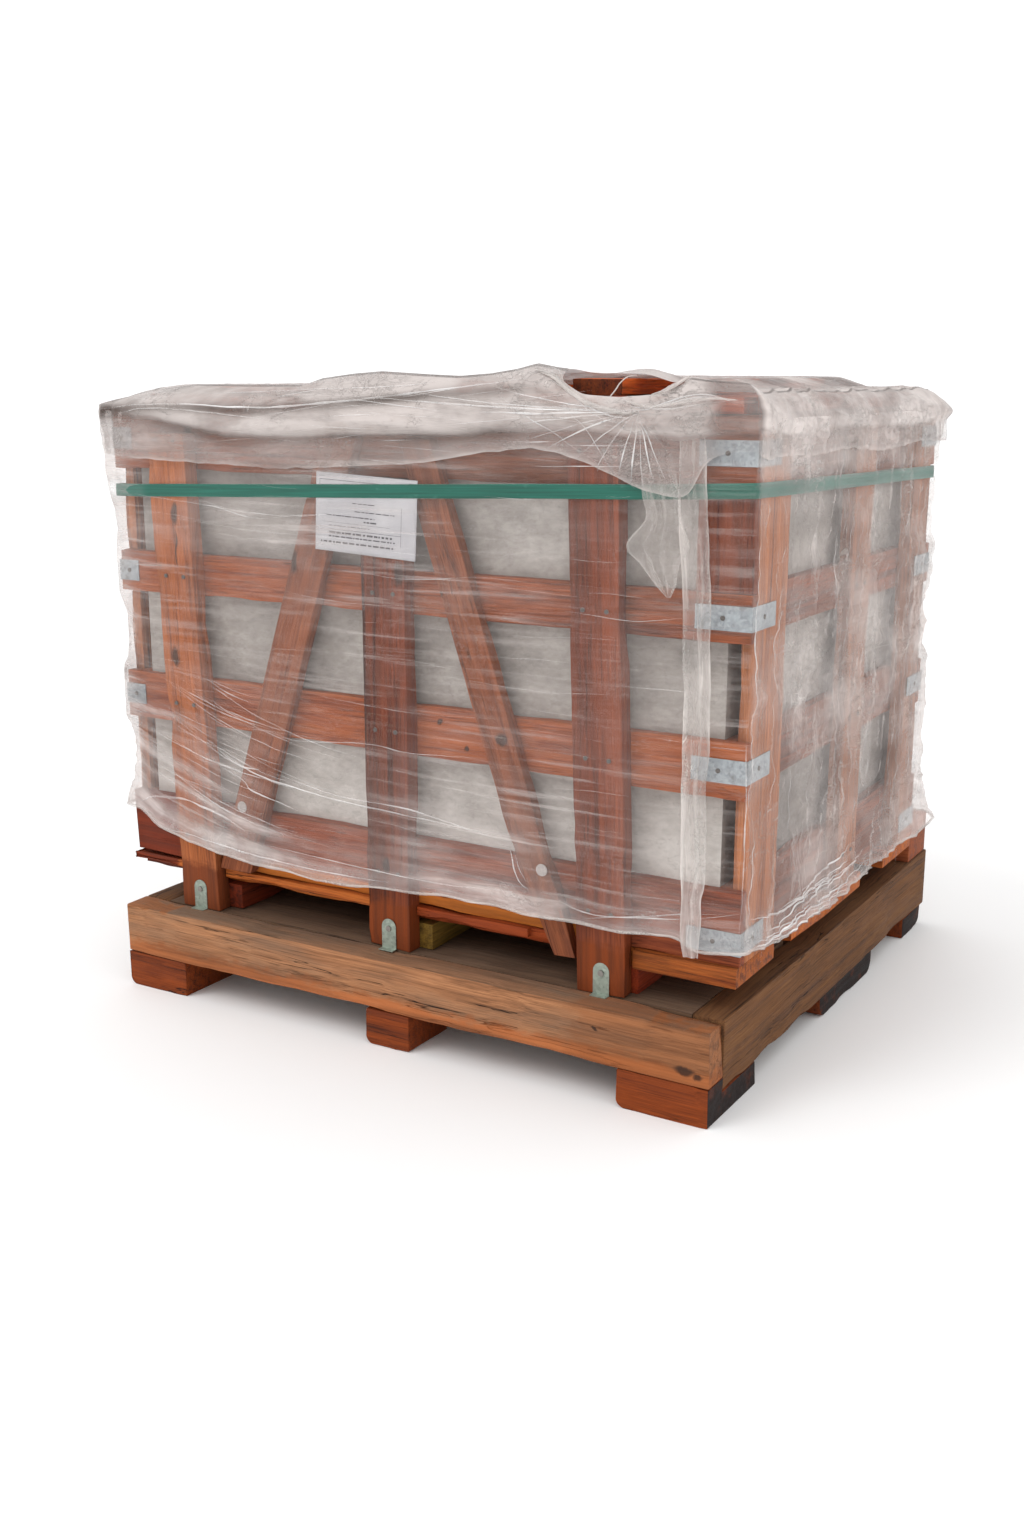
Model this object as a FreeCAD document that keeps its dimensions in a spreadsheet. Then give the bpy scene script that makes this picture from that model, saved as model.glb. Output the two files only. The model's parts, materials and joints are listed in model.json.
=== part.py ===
import FreeCAD, Part
import os
import re
import Sketcher

# A nailed timber crate on a rough-sawn pallet. The origin is under the middle of the whole object at floor
# level: +X to the right of the braced front, +Y away from it, +Z up. Every length is in millimetres.

DIMS = {
    "half_w": 669.0,            # crate: half its width over the rails
    "front_y": -508.0,          # outer face of the front rails
    "rear_y": 440.0,            # outer face of the rear rails
    "rail_t": 22.0,
    "post_t": 34.0,             # posts nailed outside the front and rear rails
    "post_w": 93.0,
    "post_top": 1100.0,
    "post_left_x": -470.0,      # middle of each post at its foot, and how far its top leans from there
    "post_left_lean": -38.0,
    "post_mid_x": -12.0,
    "post_mid_top": 960.0,
    "post_right_x": 431.0,
    "post_right_lean": -31.0,
    "brace_t": 24.0,            # braces of the inverted V on the front
    "brace_w": 78.0,            # measured level, not across the grain
    "brace_top": 1100.0,
    "brace_left_top_x": -109.0,
    "brace_left_foot_x": -387.0,
    "brace_left_foot_z": 258.0,
    "brace_right_top_x": 50.0,
    "brace_right_foot_x": 341.0,
    "brace_right_foot_z": 220.0,
    "brace_right_w": 68.0,
    "brace_toe_x": 332.0,       # the right brace tapers below its knee, on its left edge, to this line
    "brace_knee_z": 380.0,
    "upright_t": 26.0,          # uprights nailed outside the side rails
    "upright_near_w": 128.0,
    "upright_mid_y": 14.0,
    "upright_mid_w": 105.0,
    "upright_far_w": 108.0,
    "liner_t": 12.0,
    "liner_clear": 2.0,         # a liner stops this far from the floor planks and the lid
    "rail_bottom_z": 254.0,
    "rail_bottom_h": 128.0,
    "rail_lower_z": 537.0,
    "rail_lower_h": 95.0,
    "rail_upper_z": 793.0,
    "rail_upper_h": 79.0,
    "rail_top_z": 1030.0,
    "rail_top_h": 116.0,
    "cleat_w": 98.0,            # infill board between the two upper front rails at the right
    "floor_t": 34.0,            # floor planks, and the far edge of each from the front one's near edge
    "floor_y": -520.0,
    "wane_x": 378.0,            # left of here the front plank's lower front edge is missing
    "wane_d": 34.0,
    "wane_h": 17.0,
    "notch_clear": 1.0,
    "notch_left": 4.0,          # more room on the side that the left post leans to
    "bearer_h": 50.0,
    "bearer_w": 92.0,
    "bearer_left_x": -439.0,
    "bearer_mid_x": 16.0,
    "bearer_right_x": 440.0,
    "pallet_w": 1280.0,
    "pallet_x": 21.0,           # the pallet's middle lies this far right of the crate's
    "half_d": 600.0,            # half the pallet's depth
    "beam_t": 60.0,
    "beam_top": 170.0,
    "front_beam_h": 100.0,
    "side_beam_h": 126.0,
    "deck_t": 25.0,
    "deck_gap": 20.0,
    "deck_w": 200.0,
    "stringer_w": 80.0,
    "sill_y": 476.0,
    "sill_h": 92.0,
    "foot_round": 16.0,
    "foot_side_round": 26.0,
    "slat_t": 26.0,
    "slat_w": 106.0,
    "slat_gap": 12.0,
    "slat_inset": 29.0,         # the slats stop this far from the right side, and this far from the left
    "slat_inset_left": 94.0,
    "slat_setback": 8.0,
    "ledger_t": 28.0,
    "ledger_left_t": 14.0,      # the left ledger is a thinner board
    "ledger_w": 92.0,
    "ledger_x": -24.0,
    "ledger_pitch": 410.0,
    "strip_w": 40.0,            # galvanised corner strips
    "strip_leaf": 97.0,
    "strip_short": 48.0,        # front leaf of the strips at the left corner
    "strip_t": 1.5,
    "strip_drop": 25.0,         # the lowest strips sit this far below the middle of their rail
    "tie_w": 31.0,              # hold-down ties at the feet of the posts
    "tie_h": 43.0,
    "tie_foot": 14.0,
    "tie_screw_z": 40.0,
    "nail_r": 4.0,
    "nail_h": 1.4,
    "nail_x": 22.0,
    "cap_r": 11.0,
    "cap_h": 1.6,
    "cap_left_x": -362.0,
    "cap_left_z": 392.0,
    "cap_right_x": 307.0,
    "cap_right_z": 372.0,
    "screw_r": 5.5,
    "screw_h": 2.4,
    "hull_left": -560.0,        # the strap and the film meet the posts' faces at these two lines
    "hull_right": 480.0,
    "strap_w": 24.0,
    "strap_t": 0.9,
    "strap_gap": 2.2,
    "strap_z": 1001.6,          # middle of the strap at the crate's axis
    "strap_tilt": 2.11,         # degrees
    "label_w": 216.0,
    "label_h": 138.0,
    "label_t": 0.2,
    "label_gap": 0.3,
    "label_x": -156.0,
    "label_z": 903.0,
    "label_tilt": 2.8,          # degrees
    "staple_w": 11.0,
    "staple_r": 0.25,
    "staple_in": 7.0,
    "film_t": 1.2,
    "film_gap": 5.0,
    "film_z": 285.0,
    "film_top": 1140.0,
    "cover_half_w": 690.0,
    "cover_front": -562.0,
    "cover_rear": 494.0,
    "cover_z": 1078.0,
    "cover_top": 1216.0,
    "cover_t": 1.5,
    "tear_x": 340.0,            # torn hole in the cover's front edge
    "tear_w": 207.0,
    "tear_z": 1172.0,
    "tear_back": -440.0,
}
RAILS = ("bottom", "lower", "upper", "top")
FLOOR_PLANKS = ((0, 170), (255, 430), (432, 633), (770, 960))    # near and far edges behind floor_y
# The strap's loop turns about this level line: it climbs to the right and drops a little to the rear.
STRAP_AXIS = (-0.456, -0.890, 0.0)
FRONT = (0, -1, 0)
REAR = (0, 1, 0)
RIGHT = (1, 0, 0)
LEFT = (-1, 0, 0)

doc = FreeCAD.newDocument("crate")
sheet = doc.addObject("Spreadsheet::Sheet", "Dims")
for row, (alias, number) in enumerate(DIMS.items(), start=1):
    sheet.set(f"A{row}", alias)
    sheet.set(f"B{row}", str(number))
    sheet.setAlias(f"B{row}", alias)
doc.recompute()

WORD = re.compile(r"[A-Za-z_]+")
SCRATCH_CELL = "D1"
nodes = []


def aliased(word):
    """One word of an expression, with the sheet's name before it where it is one of the sheet's aliases."""
    return "Dims." + word.group() if word.group() in DIMS else word.group()


def bind(obj, prop, text):
    """Binds a property to an expression over the sheet's aliases."""
    obj.setExpression(prop, WORD.sub(aliased, str(text)))


def solve(text):
    """The present value of an expression over the sheet's aliases."""
    sheet.set(SCRATCH_CELL, f"={text}")
    sheet.recompute()
    return float(sheet.get(SCRATCH_CELL))


def place(obj, *xyz):
    for axis, text in zip("xyz", xyz):
        bind(obj, f"Placement.Base.{axis}", text)


def keep(obj, name):
    """Makes an object one sub-part, written to its own file."""
    obj.Label = name
    nodes.append(obj)
    return obj


def block(x0, x1, y0, y1, z0, z1):
    """A box between six planes, each given as an expression."""
    obj = doc.addObject("Part::Box", "Block")
    bind(obj, "Length", f"({x1}) - ({x0})")
    bind(obj, "Width", f"({y1}) - ({y0})")
    bind(obj, "Height", f"({z1}) - ({z0})")
    place(obj, x0, y0, z0)
    return obj


def disc(x, y, z, radius, height, direction):
    """A short cylinder whose axis runs from (x, y, z) along the direction."""
    obj = doc.addObject("Part::Cylinder", "Disc")
    bind(obj, "Radius", radius)
    bind(obj, "Height", height)
    up = FreeCAD.Vector(0, 0, 1)
    obj.Placement = FreeCAD.Placement(FreeCAD.Vector(), FreeCAD.Rotation(up, FreeCAD.Vector(*direction)))
    place(obj, x, y, z)
    return obj


def cut(base, tool):
    obj = doc.addObject("Part::Cut", "Cut")
    obj.Base = base
    obj.Tool = tool
    return obj


def fuse(*shapes):
    obj = doc.addObject("Part::MultiFuse", "Fuse")
    obj.Shapes = shapes
    return obj


def group(shapes, name):
    """One sub-part made of separate solids."""
    obj = doc.addObject("Part::Compound", "Group")
    obj.Links = shapes
    return keep(obj, name)


def rounded(base, radius, axis, sides):
    """Rounds the bottom edges of a box that run along the axis, on its low side, its high side or both."""
    doc.recompute()
    box = base.Shape.BoundBox
    low, high = ((box.YMin, box.YMax) if axis == "x" else (box.XMin, box.XMax))
    wanted = [{"low": low, "high": high}[side] for side in sides]
    picked = []
    for i, edge in enumerate(base.Shape.Edges, start=1):
        a, b = (v.Point for v in edge.Vertexes)
        along = abs(a.x - b.x) if axis == "x" else abs(a.y - b.y)
        across = a.y if axis == "x" else a.x
        if along > 1 and abs(a.z - box.ZMin) < 1e-6 and any(abs(across - w) < 1e-6 for w in wanted):
            picked.append((i, solve(radius), solve(radius)))
    obj = doc.addObject("Part::Fillet", "Rounded")
    obj.Base = base
    obj.Edges = picked
    return obj


def outline(loops, plane, length, name):
    """Pads closed loops of corners, each coordinate an expression, drawn on an origin plane of a new body."""
    body = doc.addObject("PartDesign::Body", "Body")
    sketch = body.newObject("Sketcher::SketchObject", "Outline")
    flat = next(f for f in body.Origin.OriginFeatures if f.Role == plane)
    sketch.AttachmentSupport = [(flat, "")]
    sketch.MapMode = "FlatFace"
    for corners in loops:
        first = sketch.GeometryCount
        count = len(corners)
        spots = [FreeCAD.Vector(solve(u), solve(v), 0) for u, v in corners]
        for i in range(count):
            sketch.addGeometry(Part.LineSegment(spots[i], spots[(i + 1) % count]), False)
        for i, corner in enumerate(corners):
            sketch.addConstraint(Sketcher.Constraint("Coincident", first + i, 2, first + (i + 1) % count, 1))
            for kind, text in zip(("DistanceX", "DistanceY"), corner):
                limit = Sketcher.Constraint(kind, -1, 1, first + i, 1, solve(text))
                bind(sketch, f"Constraints[{sketch.addConstraint(limit)}]", text)
    pad = body.newObject("PartDesign::Pad", "Pad")
    pad.Profile = sketch
    bind(pad, "Length", length)
    body.Tip = pad
    return keep(body, name)


def hull(gap):
    """The loop that a tight band takes round the crate's corners and its posts, this far outside them."""
    side = f"half_w + {gap}"
    near = f"front_y - {gap}"
    far = f"rear_y + {gap}"
    return [
        (f"-({side})", near), ("hull_left", f"{near} - post_t"),
        ("hull_right", f"{near} - post_t"), (side, near),
        (side, far), ("hull_right", f"{far} + post_t"),
        ("hull_left", f"{far} + post_t"), (f"-({side})", far),
    ]


def rail_span(rail):
    return f"rail_{rail}_z", f"rail_{rail}_z + rail_{rail}_h"


# Pallet: two deep side beams, a front beam across their ends, a rear beam between them and a flush deck.
pallet_left = "pallet_x - pallet_w / 2"
pallet_right = "pallet_x + pallet_w / 2"
inner_left = f"{pallet_left} + beam_t"
inner_right = f"{pallet_right} - beam_t"
front_low = "beam_top - front_beam_h"
side_low = "beam_top - side_beam_h"
behind_front = "-half_d + beam_t"
keep(block(pallet_left, pallet_right, "-half_d", behind_front, front_low, "beam_top"), "pallet_beam_front")
keep(block(inner_left, inner_right, "half_d - beam_t", "half_d", front_low, "beam_top"), "pallet_beam_rear")
keep(block(inner_right, pallet_right, behind_front, "half_d", side_low, "beam_top"), "pallet_beam_right")
keep(block(pallet_left, inner_left, behind_front, "half_d", side_low, "beam_top"), "pallet_beam_left")
keep(
    block("pallet_x - stringer_w / 2", "pallet_x + stringer_w / 2", behind_front, "half_d - beam_t",
          front_low, "beam_top - deck_t"),
    "pallet_stringer",
)
deck = []
for i in range(5):
    near = f"{behind_front} + {i} * (deck_w + deck_gap)"
    deck.append(block(inner_left, inner_right, near, f"{near} + deck_w", "beam_top - deck_t", "beam_top"))
group(deck, "pallet_deck_boards")

# Feet. A corner foot is notched for the side beam, which hangs lower than the front beam.
side_notch = block(inner_right, f"{pallet_right} + 1", behind_front, "0", side_low, "beam_top")
foot = rounded(block(f"{pallet_right} - 170", pallet_right, "-half_d", "-half_d + 205", 0, front_low),
               "foot_round", "y", ["low"])
keep(cut(foot, side_notch), "foot_front_right")
side_notch = block(f"{pallet_left} - 1", inner_left, behind_front, "0", side_low, "beam_top")
foot = rounded(block(pallet_left, f"{pallet_left} + 151", "-half_d", "-half_d + 145", 0, front_low),
               "foot_round", "y", ["low"])
keep(cut(foot, side_notch), "foot_front_left")
foot = block("pallet_x - 50", "pallet_x + 47", "-half_d", "-half_d + 130", 0, front_low)
keep(rounded(foot, "foot_round", "y", ["low"]), "foot_front_middle")
foot = block("pallet_x - 50", "pallet_x + 47", "half_d - 130", "half_d", 0, front_low)
keep(rounded(foot, "foot_round", "y", ["low"]), "foot_rear_middle")
for side, x0, x1 in (
    ("right", f"{pallet_right} - 141", f"{pallet_right} - 2"),
    ("left", f"{pallet_left} + 2", f"{pallet_left} + 141"),
):
    foot = block(x0, x1, -65, 240, 0, side_low)
    keep(rounded(foot, "foot_side_round", "x", ["low", "high"]), f"foot_{side}_middle")
    foot = block(x0, x1, 457, "half_d - 8", 0, side_low)
    keep(rounded(foot, "foot_round", "x", ["high"]), f"foot_rear_{side}")

# Timbers that lie on the deck: three bearers under the crate and a sill behind it.
floor_low = "beam_top + bearer_h"
for side in ("left", "mid", "right"):
    middle = f"bearer_{side}_x"
    keep(
        block(f"{middle} - bearer_w / 2", f"{middle} + bearer_w / 2", "front_y", "rear_y - 4",
              "beam_top", floor_low),
        f"bearer_{side}",
    )
keep(
    block(f"{pallet_left} + 10", f"{pallet_right} - 4", "sill_y", "half_d - 4",
          "beam_top", "beam_top + sill_h"),
    "rear_sill",
)

# Crate floor. The front plank stands a little proud of the rails and is notched for what is nailed over them.
for i, (near, far) in enumerate(FLOOR_PLANKS, start=1):
    plank = block("-half_w", "half_w", f"floor_y + {near}", f"floor_y + {far}",
                  floor_low, f"{floor_low} + floor_t")
    if i == 1:
        plank = cut(plank, block("-half_w - 1", "wane_x", "floor_y - 1", "floor_y + wane_d",
                                 f"{floor_low} - 1", f"{floor_low} + wane_h"))
        for x0, x1 in (
            ("post_left_x - post_w / 2 - notch_left", "post_left_x + post_w / 2"),
            ("post_mid_x - post_w / 2", "post_mid_x + post_w / 2"),
            ("brace_right_foot_x - brace_right_w", "post_right_x + post_w / 2"),
        ):
            notch = block(f"{x0} - notch_clear", f"{x1} + notch_clear", "floor_y - 1", "front_y",
                          f"{floor_low} - 1", f"{floor_low} + floor_t + 1")
            plank = cut(plank, notch)
    keep(plank, f"floor_plank_{i}")

# Front and rear panels: rails across the full width. The side panels' rails run between them.
rear_rails = []
right_rails = []
left_rails = []
side_inner = "half_w - upright_t - rail_t"
side_outer = "half_w - upright_t"
for rail in RAILS:
    low, high = rail_span(rail)
    keep(block("-half_w", "half_w", "front_y", "front_y + rail_t", low, high), f"front_rail_{rail}")
    rear_rails.append(block("-half_w", "half_w", "rear_y - rail_t", "rear_y", low, high))
    span = ("front_y + rail_t", "rear_y - rail_t", low, high)
    right_rails.append(block(side_inner, side_outer, *span))
    left_rails.append(block(f"-({side_outer})", f"-({side_inner})", *span))
group(rear_rails, "rear_rails")
group(right_rails, "right_rails")
group(left_rails, "left_rails")
keep(
    block("half_w - cleat_w", "half_w", "front_y", "front_y + rail_t", "rail_upper_z + rail_upper_h",
          "rail_top_z"),
    "front_cleat",
)

# Uprights outside the side rails, from the floor planks to the top of the panels.
panel_top = "rail_top_z + rail_top_h"
UPRIGHTS = {
    "near": ("front_y + rail_t", "front_y + rail_t + upright_near_w"),
    "middle": ("upright_mid_y - upright_mid_w / 2", "upright_mid_y + upright_mid_w / 2"),
    "far": ("rear_y - rail_t - upright_far_w", "rear_y - rail_t"),
}
left_uprights = []
for name, (near, far) in UPRIGHTS.items():
    keep(block(side_outer, "half_w", near, far, "rail_bottom_z", panel_top), f"right_upright_{name}")
    left_uprights.append(block("-half_w", f"-({side_outer})", near, far, "rail_bottom_z", panel_top))
group(left_uprights, "left_uprights")

# Liner boards just inside the rails.
liner_span = ("rail_bottom_z + liner_clear", f"{panel_top} - liner_clear")
liner_front = "front_y + rail_t"
liner_rear = "rear_y - rail_t"
board = block(f"-({side_inner})", side_inner, liner_front, f"{liner_front} + liner_t", *liner_span)
keep(board, "liner_front")
board = block(f"-({side_inner})", side_inner, f"{liner_rear} - liner_t", liner_rear, *liner_span)
keep(board, "liner_rear")
side_liner = (f"{liner_front} + liner_t", f"{liner_rear} - liner_t", *liner_span)
keep(block(f"{side_inner} - liner_t", side_inner, *side_liner), "liner_right")
keep(block(f"-({side_inner})", f"-({side_inner}) + liner_t", *side_liner), "liner_left")

# Posts stand on the deck outside the front and rear rails. Their feet are cut level and two of them lean.
POSTS = {
    "left": ("post_left_x", "post_left_lean", "post_top"),
    "middle": ("post_mid_x", "0", "post_mid_top"),
    "right": ("post_right_x", "post_right_lean", "post_top"),
}


def post_corners(middle, lean, top):
    return [
        (f"{middle} - post_w / 2", "beam_top"), (f"{middle} + post_w / 2", "beam_top"),
        (f"{middle} + post_w / 2 + {lean}", top), (f"{middle} - post_w / 2 + {lean}", top),
    ]


for name, post in POSTS.items():
    body = outline([post_corners(*post)], "XZ_Plane", "post_t", f"front_post_{name}")
    bind(body, "Placement.Base.y", "front_y")
    body = outline([post_corners(*post)], "XZ_Plane", "post_t", f"rear_post_{name}")
    bind(body, "Placement.Base.y", "rear_y + post_t")

# Two braces make an inverted V on the front. The right one is pared down at its foot.
for side, width in (("left", "brace_w"), ("right", "brace_right_w")):
    top_x, foot_x, foot_z = (f"brace_{side}_{key}" for key in ("top_x", "foot_x", "foot_z"))
    corners = [
        (f"{foot_x} - {width} / 2", foot_z), (f"{foot_x} + {width} / 2", foot_z),
        (f"{top_x} + {width} / 2", "brace_top"), (f"{top_x} - {width} / 2", "brace_top"),
    ]
    if side == "right":
        knee = f"(brace_knee_z - {foot_z}) / (brace_top - {foot_z})"
        corners[0] = ("brace_toe_x", foot_z)
        corners.append((f"{foot_x} - {width} / 2 + ({top_x} - {foot_x}) * {knee}", "brace_knee_z"))
    body = outline([corners], "XZ_Plane", "brace_t", f"front_brace_{side}")
    bind(body, "Placement.Base.y", "front_y")

# Lid: slats across the crate, held together by three ledgers nailed on top of them.
slats = []
for i in range(8):
    near = f"front_y + slat_setback + {i} * (slat_w + slat_gap)"
    slats.append(block("-half_w + slat_inset_left", "half_w - slat_inset", near, f"{near} + slat_w",
                       panel_top, f"{panel_top} + slat_t"))
group(slats, "lid_slats")
slat_top = f"{panel_top} + slat_t"
ledgers = []
for i, ledger_h in ((-1, "ledger_left_t"), (0, "ledger_t"), (1, "ledger_t")):
    middle = f"ledger_x + {i} * ledger_pitch"
    ledgers.append(block(f"{middle} - ledger_w / 2", f"{middle} + ledger_w / 2", "front_y + slat_setback",
                         "rear_y - slat_setback", slat_top, f"{slat_top} + {ledger_h}"))
group(ledgers, "lid_ledgers")

# Galvanised strips bent round the four corners at the height of each rail, with one nail in each leaf. The
# near left corner has none on its bottom rail, and the others there have a short front leaf.
strips = []
nails = []
for rail in RAILS:
    middle = f"rail_{rail}_z + rail_{rail}_h / 2"
    if rail == "bottom":
        middle += " - strip_drop"
    span = (f"{middle} - strip_w / 2", f"{middle} + strip_w / 2")
    for x_side, x_dir in ((1, RIGHT), (-1, LEFT)):
        outer_x = f"{x_side} * (half_w + strip_t)"
        for y_edge, y_side, y_dir in (("front_y", -1, FRONT), ("rear_y", 1, REAR)):
            near_left = x_dir == LEFT and y_dir == FRONT
            if near_left and rail == "bottom":
                continue
            leaf = "strip_short" if near_left else "strip_leaf"
            outer_y = f"{y_edge} + {y_side} * strip_t"
            leaf_x = (f"{x_side} * (half_w - {leaf})", outer_x)
            leaf_y = (f"{y_edge} - {y_side} * strip_leaf", outer_y)
            skin_x = (f"{x_side} * half_w", outer_x)
            skin_y = (y_edge, outer_y)
            strips.append(fuse(
                block(*sorted(leaf_x, key=solve), *sorted(skin_y, key=solve), *span),
                block(*sorted(skin_x, key=solve), *sorted(leaf_y, key=solve), *span),
            ))
            nail_x = f"{x_side} * (half_w - {leaf} / 2)"
            nail_y = f"{y_edge} - {y_side} * strip_leaf / 2"
            nails.append(disc(nail_x, outer_y, middle, "nail_r", "nail_h", y_dir))
            nails.append(disc(outer_x, nail_y, middle, "nail_r", "nail_h", x_dir))
group(strips, "corner_strips")

# Nails through the posts and the middle uprights into every rail behind them.
for rail in RAILS:
    height = f"(rail_{rail}_z + rail_{rail}_h / 2)"
    for middle, lean, top in POSTS.values():
        if solve(height) > solve(top):
            continue
        at = f"{middle} + {lean} * ({height} - beam_top) / ({top} - beam_top)"
        for step in ("- nail_x", "+ nail_x"):
            nails.append(disc(f"{at} {step}", "front_y - post_t", height, "nail_r", "nail_h", FRONT))
            nails.append(disc(f"{at} {step}", "rear_y + post_t", height, "nail_r", "nail_h", REAR))
    for step in ("- nail_x", "+ nail_x"):
        nails.append(disc("half_w", f"upright_mid_y {step}", height, "nail_r", "nail_h", RIGHT))
        nails.append(disc("-half_w", f"upright_mid_y {step}", height, "nail_r", "nail_h", LEFT))
group(nails, "nails")

# Hold-down ties with a round top at the foot of every front post, each with one screw, and cap nails on the
# braces.
ties = []
screws = []
for middle, lean, top in POSTS.values():
    left, right = f"{middle} - tie_w / 2", f"{middle} + tie_w / 2"
    edge = "front_y - post_t"
    face = f"{edge} - strip_t"
    leaf = block(left, right, face, edge, "beam_top", "beam_top + tie_h")
    cap = disc(middle, edge, "beam_top + tie_h", "tie_w / 2", "strip_t", FRONT)
    base = block(left, right, f"{edge} - tie_foot", edge, "beam_top", "beam_top + strip_t")
    ties.append(fuse(leaf, cap, base))
    screws.append(disc(middle, face, "beam_top + tie_screw_z", "screw_r", "screw_h", FRONT))
group(ties, "post_ties")
group(screws, "tie_screws")
caps = []
for side in ("left", "right"):
    caps.append(disc(f"cap_{side}_x", "front_y - brace_t", f"cap_{side}_z", "cap_r", "cap_h", FRONT))
group(caps, "cap_nails")

# Strap: a tight loop, a little off level.
strap = outline([hull("(strap_gap + strap_t)"), hull("strap_gap")], "XY_Plane", "strap_w", "strap")
strap.Placement = FreeCAD.Placement(FreeCAD.Vector(), FreeCAD.Rotation(FreeCAD.Vector(*STRAP_AXIS), 1))
bind(strap, "Placement.Rotation.Angle", "strap_tilt")
bind(strap, "Placement.Base.z", "strap_z - strap_w / 2")

# Paper label over the middle post and the braces, with a staple at each corner.
label_face = "front_y - post_t - label_gap"
label = block("label_x", "label_x + label_w", f"{label_face} - label_t", label_face,
              "label_z", "label_z + label_h")
label.Placement = FreeCAD.Placement(label.Placement.Base, FreeCAD.Rotation(FreeCAD.Vector(0, 1, 0), 1))
bind(label, "Placement.Rotation.Angle", "label_tilt")
keep(label, "label")
staples = []
for across in ("staple_in", "label_w - staple_in - staple_w"):
    for up in ("staple_in", "label_h - staple_in"):
        x = f"label_x + {across} + ({up}) * sin(label_tilt * 1 deg)"
        z = f"label_z + {up} - ({across}) * sin(label_tilt * 1 deg)"
        y = f"{label_face} - label_t - label_gap"
        staples.append(block(x, f"{x} + staple_w", f"{y} - 2 * staple_r", y,
                             f"{z} - staple_r", f"{z} + staple_r"))
group(staples, "label_staples")

# Stretch film round the four sides, and the top cover with its torn front edge.
film = outline([hull("(film_gap + film_t)"), hull("film_gap")], "XY_Plane", "film_top - film_z", "film_wrap")
bind(film, "Placement.Base.z", "film_z")
cover = cut(
    block("-cover_half_w", "cover_half_w", "cover_front", "cover_rear", "cover_z", "cover_top"),
    block("-cover_half_w + cover_t", "cover_half_w - cover_t",
          "cover_front + cover_t", "cover_rear - cover_t", "cover_z - 1", "cover_top - cover_t"),
)
tear = block("tear_x", "tear_x + tear_w", "cover_front - 1", "tear_back", "tear_z", "cover_top + 1")
keep(cut(cover, tear), "top_cover")

sheet.clear(SCRATCH_CELL)
doc.recompute()
for obj in doc.Objects:
    if "Invalid" in obj.State or "Error" in obj.State:
        raise RuntimeError(f"{obj.Name} ({obj.Label}) is in state {obj.State}")
os.makedirs("parts", exist_ok=True)
for node in nodes:
    if node.Shape.isNull() or not node.Shape.isValid():
        raise RuntimeError(f"{node.Label} has no valid shape")
    node.Shape.exportStep(f"parts/{node.Label}.step")
print(f"{len(nodes)} sub-parts written")
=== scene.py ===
import json
import math
import random

import bmesh
import bpy
import numpy as np
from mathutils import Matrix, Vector, noise
from mathutils.bvhtree import BVHTree

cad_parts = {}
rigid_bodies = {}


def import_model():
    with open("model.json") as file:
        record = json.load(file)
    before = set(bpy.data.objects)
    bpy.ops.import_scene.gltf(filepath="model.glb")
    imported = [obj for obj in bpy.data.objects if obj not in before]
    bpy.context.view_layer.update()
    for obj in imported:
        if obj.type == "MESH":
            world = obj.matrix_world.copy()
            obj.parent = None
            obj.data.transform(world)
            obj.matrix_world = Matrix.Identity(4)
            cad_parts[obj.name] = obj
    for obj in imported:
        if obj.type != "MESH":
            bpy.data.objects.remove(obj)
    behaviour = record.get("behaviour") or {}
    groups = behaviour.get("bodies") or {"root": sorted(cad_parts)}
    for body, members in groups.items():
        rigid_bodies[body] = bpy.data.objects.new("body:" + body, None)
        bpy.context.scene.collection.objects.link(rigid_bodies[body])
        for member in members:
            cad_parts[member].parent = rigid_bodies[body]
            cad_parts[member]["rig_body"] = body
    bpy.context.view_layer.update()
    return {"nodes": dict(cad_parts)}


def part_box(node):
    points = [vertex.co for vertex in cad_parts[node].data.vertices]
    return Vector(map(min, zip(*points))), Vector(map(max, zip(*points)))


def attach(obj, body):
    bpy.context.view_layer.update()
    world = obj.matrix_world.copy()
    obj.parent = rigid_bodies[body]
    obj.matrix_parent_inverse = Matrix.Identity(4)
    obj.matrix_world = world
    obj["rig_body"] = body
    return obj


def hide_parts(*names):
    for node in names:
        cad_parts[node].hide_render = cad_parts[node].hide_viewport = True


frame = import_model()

# A nailed timber crate on a rough pallet, wrapped in stretch film under a torn milky top cover. Everything is in
# metres in the row frame: +X right, +Y away from the braced front, +Z up.

MM = 0.001
RNG = random.Random(5)


# ---------------------------------------------------------------- small helpers

def linear(red, green, blue):
    """A display colour of 0 to 255 per channel as linear RGBA."""
    def one(c):
        c /= 255
        return c / 12.92 if c <= 0.04045 else ((c + 0.055) / 1.055) ** 2.4
    return (one(red), one(green), one(blue), 1.0)


def shade(colour, factor, more=0):
    """A display colour made darker or lighter, as linear RGBA."""
    return linear(*[min(255, c * factor + more) for c in colour])


def ripple(points, scale, seed=0.0):
    """Smooth noise of about -1 to 1 at each row of points, stretched by the scale along each axis."""
    scale = np.asarray(scale, float)
    return np.array([noise.noise(Vector(p)) for p in np.asarray(points, float) * scale + seed])


def ridges(points, scale, seed=0.0):
    """Sharp-crested noise from 0 to 1, like the creases in crumpled film."""
    return np.clip(1 - np.abs(ripple(points, scale, seed)) * 3.2, 0, 1) ** 2


def step(low, high, value):
    """0 below low, 1 above high and smooth between them."""
    t = np.clip((value - low) / (high - low), 0, 1)
    return t * t * (3 - 2 * t)


def near(value, middle, width):
    """A bump of 1 at the middle that fades out over the width."""
    return np.exp(-((value - middle) / width) ** 2)


def linked(name, data):
    """An object in the scene that shows the data."""
    obj = bpy.data.objects.new(name, data)
    bpy.context.scene.collection.objects.link(obj)
    return obj


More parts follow.
